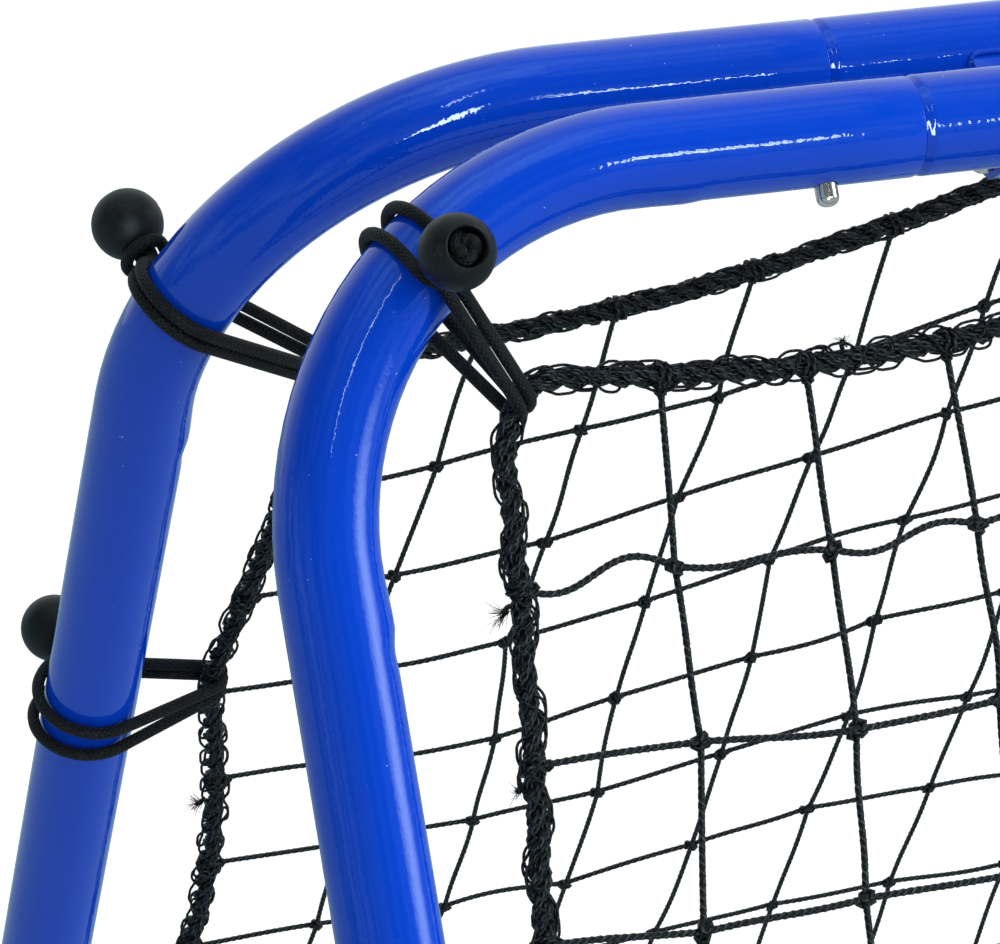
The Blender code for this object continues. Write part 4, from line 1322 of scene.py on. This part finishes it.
def model_knots(places, share):
    """Every knot of the net, and the hitches that hold its twines to the border rope."""
    knot = mesh_arrays(knot_base())
    generator = random.Random(31)
    rope_r = bpy.context.scene.rebounder_twines.rope_d / 2
    hitch = mesh_arrays(hitch_base(rope_r + 0.0001))
    all_points, all_faces, all_uv = [], [], []
    base = 0

    def add(shape, moved, flip):
        nonlocal base
        corners, faces, uv = shape
        all_points.append(moved)
        all_faces.append((faces if flip > 0 else faces[:, ::-1]) + base)
        all_uv.append(uv)
        base += len(corners)

    def add_knot(place, heading, size):
        turn = Matrix.Rotation(heading + generator.uniform(-0.3, 0.3), 3, "Y")
        turn @= Matrix.Rotation(generator.uniform(-0.35, 0.35), 3, "X")
        flip = 1 if generator.random() < 0.5 else -1
        shape = np.array((generator.uniform(0.92, 1.12), flip, generator.uniform(0.9, 1.1))) * size
        add(knot, (knot[0] * shape) @ np.array(turn).T + np.array(place), flip)

    def add_hitch(i, k, inner, along):
        place = places[i, k]
        run = (in_plane(*places[along[1]]) - in_plane(*places[along[0]])).normalized()
        axes = np.array((run, Vector(OUT).cross(run).normalized(), OUT))
        flip = 1 if generator.random() < 0.5 else -1
        shape = np.array((flip * generator.uniform(0.85, 1.15), 1, generator.uniform(0.97, 1.06)))
        add(hitch, (hitch[0] * shape) @ axes + np.array(in_plane(*place)), flip)
        inward = (places[inner] - place).normalized()
        heading = math.pi / 2 if abs(inward.y) > abs(inward.x) else 0.0
        add_knot(in_plane(*(place + inward * rope_r * 0.95)), heading, 0.92)

    for i in range(1, CELLS_ACROSS):
        for k in range(1, CELLS_DOWN):
            add_knot(in_plane(*places[i, k]), generator.choice((0.3, -0.3, 0.8)), 1.2 * share)
    for i in range(1, CELLS_ACROSS):
        for k, inner in ((0, 1), (CELLS_DOWN, CELLS_DOWN - 1)):
            add_hitch(i, k, (i, inner), ((i - 1, k), (i + 1, k)))
    for k in range(1, CELLS_DOWN):
        for i, inner in ((0, 1), (CELLS_ACROSS, CELLS_ACROSS - 1)):
            add_hitch(i, k, (inner, k), ((i, k - 1), (i, k + 1)))
    return mapped_mesh("knots", all_points, np.concatenate(all_faces).tolist(), all_uv)


class REBOUNDER_OT_nets(bpy.types.Operator):
    """Models the knotted nets: twines across, twines down and their knots"""

    bl_idname = "rebounder.nets"
    bl_label = "Nets"

    def execute(self, context):
        places = net_places()
        for prefix, panel in PANELS.items():
            share = 1.0 if prefix == "front" else context.scene.rebounder_twines.rear_share
            across, down = (model_twines(axis, places, share) for axis in (0, 1))
            made = {"across": across, "down": down, "knots": model_knots(places, share)}
            for word, base in made.items():
                copy_placed(
                    base, f"net_{word}_{prefix}", panel, net_twine(), f"{prefix}_frame",
                    [f"{prefix}_net"],
                )
            remove(*made.values())
        return {"FINISHED"}


# Ball bungees
CORD_STEPS = (0.0015, 0.0022)
# How far the doubled cord reaches past the ball's centre; rise and set-back of the loop under the ball
CORD_PAST_BALL = 0.0035
LOOP_RISE = 0.0009
LOOP_BACK = 0.0080
# The mould seam round a ball: height, angle above its equator and width
BALL_SEAM = (0.00014, 0.10, 0.022)
KNOT_CORD_R = 0.0023


def ball_distance():
    loop_top = TUBE_R + 3 * TOUCH + 4 * CORD_R + 3 * CORD_GAP
    return loop_top + math.sqrt(BALL_R**2 - (2 * CORD_R) ** 2)


def cord_route(tube_point, tangent, net_point, ball_angle, way, spread, droop):
    """Centre line of the doubled cord, closed at its knot, and the ball's place and axis.

    The ball's angle is counted from the net, round the face on the side of way. The ball and the loop
    under it hang lower than the rest of the ring by the droop.
    """
    face = way * OUT
    low = droop if tangent.y > 0 else -droop
    toward = (net_point - tube_point).normalized()
    reach = (net_point - tube_point).length
    radial = toward - tangent * toward.dot(tangent)
    skew = 1 / radial.length
    ring_r = TUBE_R + CORD_R + 2 * TOUCH
    rope_r = bpy.context.scene.rebounder_twines.rope_d / 2 * 0.94 + CORD_R
    strand = (CORD_R + CORD_GAP / 2) * skew
    tie = math.acos((ring_r - rope_r) / reach)
    e = Vector((toward.x, 0, -toward.y))
    along = Vector((tangent.x, 0, -tangent.y))
    tube_centre = in_plane(*tube_point)
    rope_middle = in_plane(*net_point)
    skewed = math.hypot(skew * math.cos(ball_angle), math.sin(ball_angle))
    out = skewed * (math.cos(ball_angle) * e + math.sin(ball_angle) * face)
    turn = -math.sin(ball_angle) * e + math.cos(ball_angle) * face
    turn = (turn - along * turn.dot(along)).normalized()
    loop_r = ring_r + 2 * CORD_R + 3 * CORD_GAP
    ball_r = ball_distance()
    loop_side = (3 * CORD_R + 3.5 * CORD_GAP) * skew
    first = (strand + spread) / 2
    begin = max(ball_angle - 0.19, tie + 0.02)
    end = min(ball_angle - 2 * math.pi + 0.45, -tie - 0.05)
    low_here = low * max(0, 1 - (begin - tie) / (math.pi / 2))
    low_there = low * max(0.5, 1 + (end + tie) / (math.pi / 2))

    def round_tube(angle, aside):
        offset = ring_r * (skew * math.cos(angle) * e + math.sin(angle) * face)
        return tube_centre + offset + aside * along

    def round_rope(angle, aside):
        return rope_middle + rope_r * (math.cos(angle) * e + math.sin(angle) * face) + aside * along

    def arc(start, end, first_aside, last_aside):
        count = max(2, math.ceil(abs(end - start) / math.radians(6)))
        points = []
        for step in range(count + 1):
            t = step / count
            aside = first_aside + t * (last_aside - first_aside)
            points.append(round_tube(start + t * (end - start), aside))
        return points

    def neck(radius, aside, forward):
        return tube_centre + radius * out + (aside + low) * along + forward * turn

    def half(hand):
        aside = hand * strand
        points = [neck(ball_r + CORD_PAST_BALL, aside, 0), neck(ring_r + 0.003, aside, 0)]
        points += arc(begin, tie, aside + low, aside + low_here)
        points += [round_rope(tie * fifths / 5, aside) for fifths in range(4, -5, -1)]
        points += arc(-tie, end, hand * first + low_there, hand * spread + low)
        points.append(neck(loop_r, hand * loop_side, 0.001))
        for degrees in (25, 50, 72):
            angle = math.radians(degrees)
            rise, back = LOOP_RISE * math.sin(angle), -LOOP_BACK * math.sin(angle)
            points.append(neck(loop_r + rise, hand * loop_side * math.cos(angle), back))
        return points

    knot = neck(ball_r + CORD_PAST_BALL + strand, 0, 0)
    bend = neck(loop_r + LOOP_RISE, 0, -LOOP_BACK)
    return half(1) + [bend] + half(-1)[::-1] + [knot], neck(ball_r, 0, 0), out


def model_cord(route):
    """The doubled cord as one closed run, its kinks rounded."""
    points = resample(relax(resample(route, CORD_STEPS[0]), 4), CORD_STEPS[1])
    return {"points": points, "radius": CORD_R, "closed": True}


def model_ball():
    """Ball with a rounded hole for the cord, a mould seam and a wide mouth that holds the knot."""
    bore, mouth = BALL_BORE_R, BALL_MOUTH_R
    seam, seam_at, seam_width = BALL_SEAM
    low = math.asin(bore / BALL_R) - math.pi / 2
    high = math.pi / 2 - math.asin(mouth / BALL_R)
    foot = BALL_R * math.sin(low)
    profile = [(bore - 0.0004, foot + 0.005), (bore - 0.0004, foot + 0.0005)]
    for angle in np.linspace(low + 0.03, high - 0.05, 27):
        radius = BALL_R + seam * math.exp(-((angle - seam_at) / seam_width) ** 2)
        profile.append((radius * math.cos(angle), radius * math.sin(angle)))
    rim = BALL_R * math.sin(high)
    profile += [
        (mouth - 0.0001, rim + 0.00005), (mouth - 0.0006, rim - 0.0001), (mouth - 0.0010, rim - 0.0006),
        (mouth - 0.0011, rim - 0.0013), (mouth - 0.0012, rim - BALL_MOUTH_DEPTH + 0.0010),
        (mouth - 0.0022, rim - BALL_MOUTH_DEPTH),
    ]
    return turn_up("ball", profile, 56)


def model_cord_knot():
    """Overhand knot of the doubled cord, which fills the mouth, and its two cut ends."""
    t = np.linspace(0, 2 * math.pi, 54, endpoint=False)
    reach = 3.1 + 1.35 * np.cos(3 * t)
    turned = (reach * np.cos(2 * t), reach * np.sin(2 * t), 1.75 * np.sin(3 * t))
    points = np.stack(turned, axis=1) * 0.001
    rim = math.sqrt(BALL_R**2 - BALL_MOUTH_R**2)
    points[:, 2] += rim - 0.0042
    runs = [{"points": points, "radius": KNOT_CORD_R, "closed": True}]
    for side in (-1, 1):
        start = np.array((side * 0.0012, side * 0.0005, rim - 0.005))
        tip = np.array((side * 0.0030, side * 0.0018, rim + 0.0012))
        line = [start + (tip - start) * s for s in np.linspace(0, 1, 6)]
        radius = [0.0024, 0.0024, 0.0024, 0.0023, 0.0021, 0.0016]
        runs.append({"points": np.array(line), "radius": radius})
    return sweep("cord_knot", runs, 12)


def corner_tie(side, level, angle):
    """Point on a corner's tube axis and the tube's direction; the angle is from the post's level."""
    centre_down = CORNER_R if level == "top" else SLANT - CORNER_R
    sign = -1 if level == "top" else 1
    spoke = Vector((side * math.cos(angle), sign * math.sin(angle)))
    chord = CORNER_R * math.cos(math.pi / 20)
    point = Vector((side * (POST_X - CORNER_R), centre_down)) + spoke * (CORNER_R + chord) / 2
    return point, Vector((-spoke.y, spoke.x))


def bungee_ties():
    """Word, tube point and direction, rope point, ball angle, way, spread, droop, and whether packed."""
    low_tie = (*corner_tie(-1, "top", LOW_TIE_ANGLE), corner_point(-1, "top"))
    high_tie = (*corner_tie(1, "top", CORNER_TIE_ANGLE), corner_point(1, "top"))
    ties = [
        ("top_left", (*low_tie, math.radians(255), -1, 0.004, 0.0075), True),
        ("top_right", (*high_tie, math.radians(88), 1, 0.0075, 0.003), True),
    ]
    for side, word in SIDES:
        corner = (*corner_tie(side, "bottom", CORNER_TIE_ANGLE), corner_point(side, "bottom"))
        ties.append((f"bottom_{word}", (*corner, math.radians(120), 1, 0.007, 0.003), True))
        for level, down, packed in (("post", UPPER_TIE_DOWN, True), ("low_post", LOWER_TIE_DOWN, False)):
            tube_point = Vector((side * POST_X, down))
            net_point = Vector((side * (POST_X - TIE_REACH), down))
            tie = (tube_point, Vector((0, 1)), net_point, math.radians(93), 1, 0.0095, 0.006)
            ties.append((f"{level}_{word}", tie, packed))
        for level, down, sign in (("top_rail", 0, 1), ("bottom_rail", SLANT, -1)):
            tube_point = Vector((side * TOP_TIE_X, down))
            net_point = Vector((side * TOP_TIE_X, down + sign * TIE_REACH))
            tie = (tube_point, Vector((1, 0)), net_point, math.radians(80), 1, 0.007, 0.0)
            ties.append((f"{level}_{word}", tie, False))
    return ties


def press_on_floor(cord):
    """Where a cord passes under the bottom rail it is pressed flat between rail and floor."""
    for vertex in cord.data.vertices:
        vertex.co.z = max(vertex.co.z, 0.0004)


class REBOUNDER_OT_bungees(bpy.types.Operator):
    """Models the ball bungees: balls, knots and braided doubled cords"""

    bl_idname = "rebounder.bungees"
    bl_label = "Ball bungees"

    def execute(self, context):
        ball, knot = model_ball(), model_cord_knot()
        cord_finish = material_of("braided_black_cord", braided_cord)
        ball_finish = material_of("satin_black_ball", ball_plastic)
        for word, tie, packed in bungee_ties():
            route, place, out = cord_route(*tie)
            cord = sweep("cord", [model_cord(route)], 12)
            set_on = Matrix.Translation(place) @ out.to_track_quat("Z", "Y").to_matrix().to_4x4()
            for prefix, panel in PANELS.items():
                body = f"{prefix}_frame"
                name = f"{prefix}_{word}"
                nodes = [f"bungee_cord_{name}"] if packed else []
                laid = copy_placed(
                    cord, f"braided_cord_{name}", panel, cord_finish, body, nodes
                )
                press_on_floor(laid)
                nodes = [f"bungee_ball_{name}"] if packed else []
                copy_placed(
                    ball, f"satin_ball_{name}", panel @ set_on, ball_finish, body, nodes
                )
                copy_placed(knot, f"cord_knot_{name}", panel @ set_on, cord_finish, body)
            remove(cord)
        remove(ball, knot)
        return {"FINISHED"}


# Stage
CAMERA_PLACE = (-1.18008, -1.80711, 1.399)
CAMERA_YAW, CAMERA_PITCH, CAMERA_ROLL = 0.3672, 0.3442, 0.0021
CAMERA_LENS = 196.98
# Softboxes: the setting of their power, where they stand, where they point, their width and height
SOFTBOXES = (
    ("key", (1.50, -1.02, 1.60), (-0.45, -0.1, 0.65), 0.80, 2.1),
    ("top", (-0.30, 0.60, 3.00), (-0.30, 0.0, 0.80), 3.0, 1.00),
)


def place_camera():
    """Long lens, slightly above the upper corner and looking down at it."""
    level = math.cos(CAMERA_PITCH)
    ahead = Vector((math.sin(CAMERA_YAW) * level, math.cos(CAMERA_YAW) * level, -math.sin(CAMERA_PITCH)))
    right = Vector((math.cos(CAMERA_YAW), -math.sin(CAMERA_YAW), 0))
    up = right.cross(ahead)
    turned_right = math.cos(CAMERA_ROLL) * right + math.sin(CAMERA_ROLL) * up
    turned_up = -math.sin(CAMERA_ROLL) * right + math.cos(CAMERA_ROLL) * up
    camera = add_object("camera", bpy.data.cameras.new("camera"))
    camera.data.sensor_width = 36.0
    camera.data.lens = CAMERA_LENS
    camera.data.clip_end = 50.0
    turn = Matrix((turned_right, turned_up, -ahead)).transposed().to_4x4()
    camera.matrix_world = Matrix.Translation(CAMERA_PLACE) @ turn
    bpy.context.scene.camera = camera


def add_softbox(name, place, target, width, height, power):
    """A softbox that lights the piece and stays out of its gloss, which has lamps of its own."""
    light = bpy.data.lights.new(name, "AREA")
    light.shape = "RECTANGLE"
    light.size = width
    light.size_y = height
    light.energy = power
    thing = add_object(name, light)
    thing.visible_glossy = False
    thing.location = place
    thing.rotation_euler = (Vector(target) - Vector(place)).to_track_quat("-Z", "Y").to_euler()


# Oval lamps that only the gloss sees: centre, axes across and along, half width and length, strength
FLASHES = (
    ((-0.119, -0.984, 0.136), (-0.930, 0.158, 0.332), (0.348, 0.087, 0.933), 0.075, 0.36, 24.0),
    ((-0.100, -0.620, 0.780), (-0.857, 0.453, 0.250), (0.507, 0.642, 0.574), 0.020, 0.15, 9.0),
)
# Brightness of the dim room from its horizon to its ceiling, and its tint
ROOM_LEVELS = (
    (0.5, 0.36), (0.60, 0.48), (0.70, 0.26), (0.80, 0.12), (0.89, 0.18), (0.95, 0.5), (1.0, 1.05)
)
ROOM_TINT = (0.50, 0.88, 1.0)
# The narrow striplight: the normal of the plane it lies in, how it fades aside and along x, its strength
STRIP_NORMAL = (0.516, 0.377, 0.770)
STRIP_FADE = ((0.0, 1.0), (0.016, 0.9), (0.022, 0.0))
STRIP_EXTENT = (
    (0.60, 0.0), (0.645, 0.3), (0.664, 1.0), (0.698, 1.0), (0.702, 0.5), (0.7055, 0.12), (0.7075, 0.0)
)
STRIP_STRENGTH = 26.0
BAND_STRENGTH = 5.2
LAMP_TINT = (0.78, 1.0, 1.05)
FLOOR_SIZE = 14.0
FLOOR_LIFT = 0.50
FLOOR_IN_GLOSS = 0.54


def ray_direction(tree):
    return add_node(tree, "ShaderNodeTexCoord").outputs["Generated"]


def toward(tree, direction):
    """Half of one plus the cosine between the ray and a direction."""
    dot = add_node(
        tree, "ShaderNodeVectorMath", {0: ray_direction(tree), 1: direction}, operation="DOT_PRODUCT"
    )
    return maths(tree, "MULTIPLY_ADD", dot.outputs["Value"], 0.5, 0.5)


def dim_room(tree):
    """A room of uneven panels that turns into a white back behind the piece."""
    levels = [(at, scaled(ROOM_TINT, level)) for at, level in ROOM_LEVELS]
    uneven = ramp(tree, noise_at(tree, ray_direction(tree), 5.5), [(0.38, 0.5), (0.62, 1.6)])
    room = ramp(tree, toward(tree, (0.0, 0.0, 1.0)), levels)
    panels = add_node(tree, "ShaderNodeVectorMath", {0: room, "Scale": uneven}, operation="SCALE")
    back = ramp(tree, toward(tree, (0.359, 0.933, 0.0)), [(0.5, 0.0), (0.68, 0.22), (0.86, 1.0)])
    mix = add_node(tree, "ShaderNodeMix", data_type="RGBA")
    feed(tree, mix, {"Factor": back, "A": panels.outputs["Vector"], "B": (0.82, 0.94, 1.0, 1)})
    return mix.outputs["Result"]


def striplight(tree):
    """A thin jagged line with gaps, as the paint's fine peel shows a bare striplight."""
    place = ray_direction(tree)
    jag = maths(tree, "MULTIPLY", maths(tree, "SUBTRACT", noise_at(tree, place, 900.0), 0.5), 0.030)
    aside = maths(tree, "SUBTRACT", toward(tree, STRIP_NORMAL), 0.5)
    aside = maths(tree, "ABSOLUTE", maths(tree, "ADD", aside, jag))
    gaps = ramp(tree, noise_at(tree, place, 22.0, 1.0), [(0.42, 0.25), (0.54, 1.0)])
    reach = ramp(tree, toward(tree, (1.0, 0.0, 0.0)), STRIP_EXTENT)
    seen = maths(tree, "MULTIPLY", ramp(tree, aside, STRIP_FADE), maths(tree, "MULTIPLY", reach, gaps))
    return maths(tree, "MULTIPLY", seen, STRIP_STRENGTH)


def flash(tree, centre, across, along, width, length, strength):
    """An oval lamp in front of the piece."""
    squares = []
    for axis, half in ((across, width), (along, length)):
        off = maths(tree, "MULTIPLY", maths(tree, "SUBTRACT", toward(tree, axis), 0.5), 2.0 / half)
        squares.append(maths(tree, "MULTIPLY", off, off))
    oval = ramp(tree, maths(tree, "ADD", *squares), [(0.0, 1.0), (0.6, 1.0), (1.0, 0.0)])
    front = ramp(tree, toward(tree, centre), [(0.85, 0.0), (0.90, 1.0)])
    return maths(tree, "MULTIPLY", maths(tree, "MULTIPLY", oval, front), strength)


def set_world():
    """White to the camera; soft light mostly from the front right; gloss sees a room with its lamps."""
    world = bpy.data.worlds.new("studio")
    bpy.context.scene.world = world
    world.use_nodes = True
    tree = world.node_tree
    shown = tree.nodes["Background"]
    feed(tree, shown, {"Color": (1, 1, 1, 1)})
    soft = ramp(tree, toward(tree, (0.30, -0.74, 0.60)), [(0.0, 0.22), (0.45, 0.22), (1.0, 1.50)])
    lit = add_node(tree, "ShaderNodeBackground", {"Color": soft})
    band = ramp(tree, toward(tree, (0.885, -0.345, 0.31)), [(0.970, 0.0), (0.990, 0.5), (1.0, 1.0)])
    bright = maths(tree, "ADD", maths(tree, "MULTIPLY", band, BAND_STRENGTH), striplight(tree))
    for values in FLASHES:
        bright = maths(tree, "ADD", bright, flash(tree, *values))
    seen = add_node(
        tree, "ShaderNodeVectorMath", {0: bright, 1: LAMP_TINT, 2: dim_room(tree)},
        operation="MULTIPLY_ADD",
    )
    gloss = add_node(tree, "ShaderNodeBackground", {"Color": seen.outputs["Vector"]})
    path = add_node(tree, "ShaderNodeLightPath").outputs
    either = maths(tree, "MAXIMUM", path["Is Glossy Ray"], path["Is Transmission Ray"])
    first = add_node(
        tree, "ShaderNodeMixShader", {0: path["Is Camera Ray"], 1: lit.outputs[0], 2: shown.outputs[0]}
    )
    second = add_node(tree, "ShaderNodeMixShader", {0: either, 1: first.outputs[0], 2: gloss.outputs[0]})
    feed(tree, tree.nodes["World Output"], {"Surface": second.outputs[0]})


def floor_finish():
    """Pale floor, near white to the camera and dimmer in the gloss, that still takes the shadow."""
    material, tree, shader = start_material("pale_floor")
    colour = (*bpy.context.scene.rebounder_studio.floor, 1.0)
    feed(tree, shader, {"Base Color": colour, "Roughness": 0.9, "Specular IOR Level": 0.0})
    path = add_node(tree, "ShaderNodeLightPath").outputs
    lift = maths(tree, "MULTIPLY", path["Is Camera Ray"], FLOOR_LIFT)
    glow = add_node(tree, "ShaderNodeEmission", {"Color": (1, 1, 1, 1), "Strength": lift})
    dim = add_node(tree, "ShaderNodeEmission", {"Color": (0.60, 0.90, 1, 1), "Strength": FLOOR_IN_GLOSS})
    lifted = add_node(tree, "ShaderNodeAddShader", {0: shader.outputs[0], 1: glow.outputs[0]})
    mix = add_node(
        tree, "ShaderNodeMixShader", {0: path["Is Glossy Ray"], 1: lifted.outputs[0], 2: dim.outputs[0]}
    )
    feed(tree, tree.nodes["Material Output"], {"Surface": mix.outputs[0]})
    return material


class REBOUNDER_OT_stage(bpy.types.Operator):
    """Adds the pale floor, the softboxes, the world and the camera"""

    bl_idname = "rebounder.stage"
    bl_label = "Stage"

    def execute(self, context):
        settings = context.scene.rebounder_studio
        deselect()
        bpy.ops.mesh.primitive_plane_add(size=FLOOR_SIZE)
        floor = bpy.context.object
        floor.name = "floor"
        floor.data.materials.append(floor_finish())
        for key, place, target, width, height in SOFTBOXES:
            add_softbox(f"{key}_softbox", place, target, width, height, getattr(settings, key))
        set_world()
        place_camera()
        context.scene.view_settings.view_transform = "Standard"
        return {"FINISHED"}


OPERATORS = (
    REBOUNDER_OT_stage,
    REBOUNDER_OT_frame_tubes,
    REBOUNDER_OT_snap_buttons,
    REBOUNDER_OT_hinges,
    REBOUNDER_OT_border_ropes,
    REBOUNDER_OT_nets,
    REBOUNDER_OT_bungees,
)


class REBOUNDER_PT_panel(bpy.types.Panel):
    """Sizes and colours, and a button for each group of pieces"""

    bl_label = "Rebounder"
    bl_idname = "REBOUNDER_PT_panel"
    bl_space_type = "VIEW_3D"
    bl_region_type = "UI"
    bl_category = "Rebounder"

    def draw(self, context):
        for group in SETTINGS:
            settings = getattr(context.scene, group)
            for key in settings.__annotations__:
                self.layout.prop(settings, key)
        for operator in OPERATORS:
            self.layout.operator(operator.bl_idname)


SETTINGS = {
    "rebounder_tubes": TubeSettings,
    "rebounder_twines": TwineSettings,
    "rebounder_bungees": BungeeSettings,
    "rebounder_studio": StudioSettings,
}


def register():
    for cls in (*SETTINGS.values(), *OPERATORS, REBOUNDER_PT_panel):
        bpy.utils.register_class(cls)
    for name, cls in SETTINGS.items():
        setattr(bpy.types.Scene, name, bpy.props.PointerProperty(type=cls))


def unregister():
    for name in SETTINGS:
        delattr(bpy.types.Scene, name)
    for cls in (REBOUNDER_PT_panel, *OPERATORS[::-1], *SETTINGS.values()):
        bpy.utils.unregister_class(cls)


def main():
    register()
    for operator in OPERATORS:
        group, name = operator.bl_idname.split(".")
        getattr(getattr(bpy.ops, group), name)()


if __name__ == "__main__":
    main()
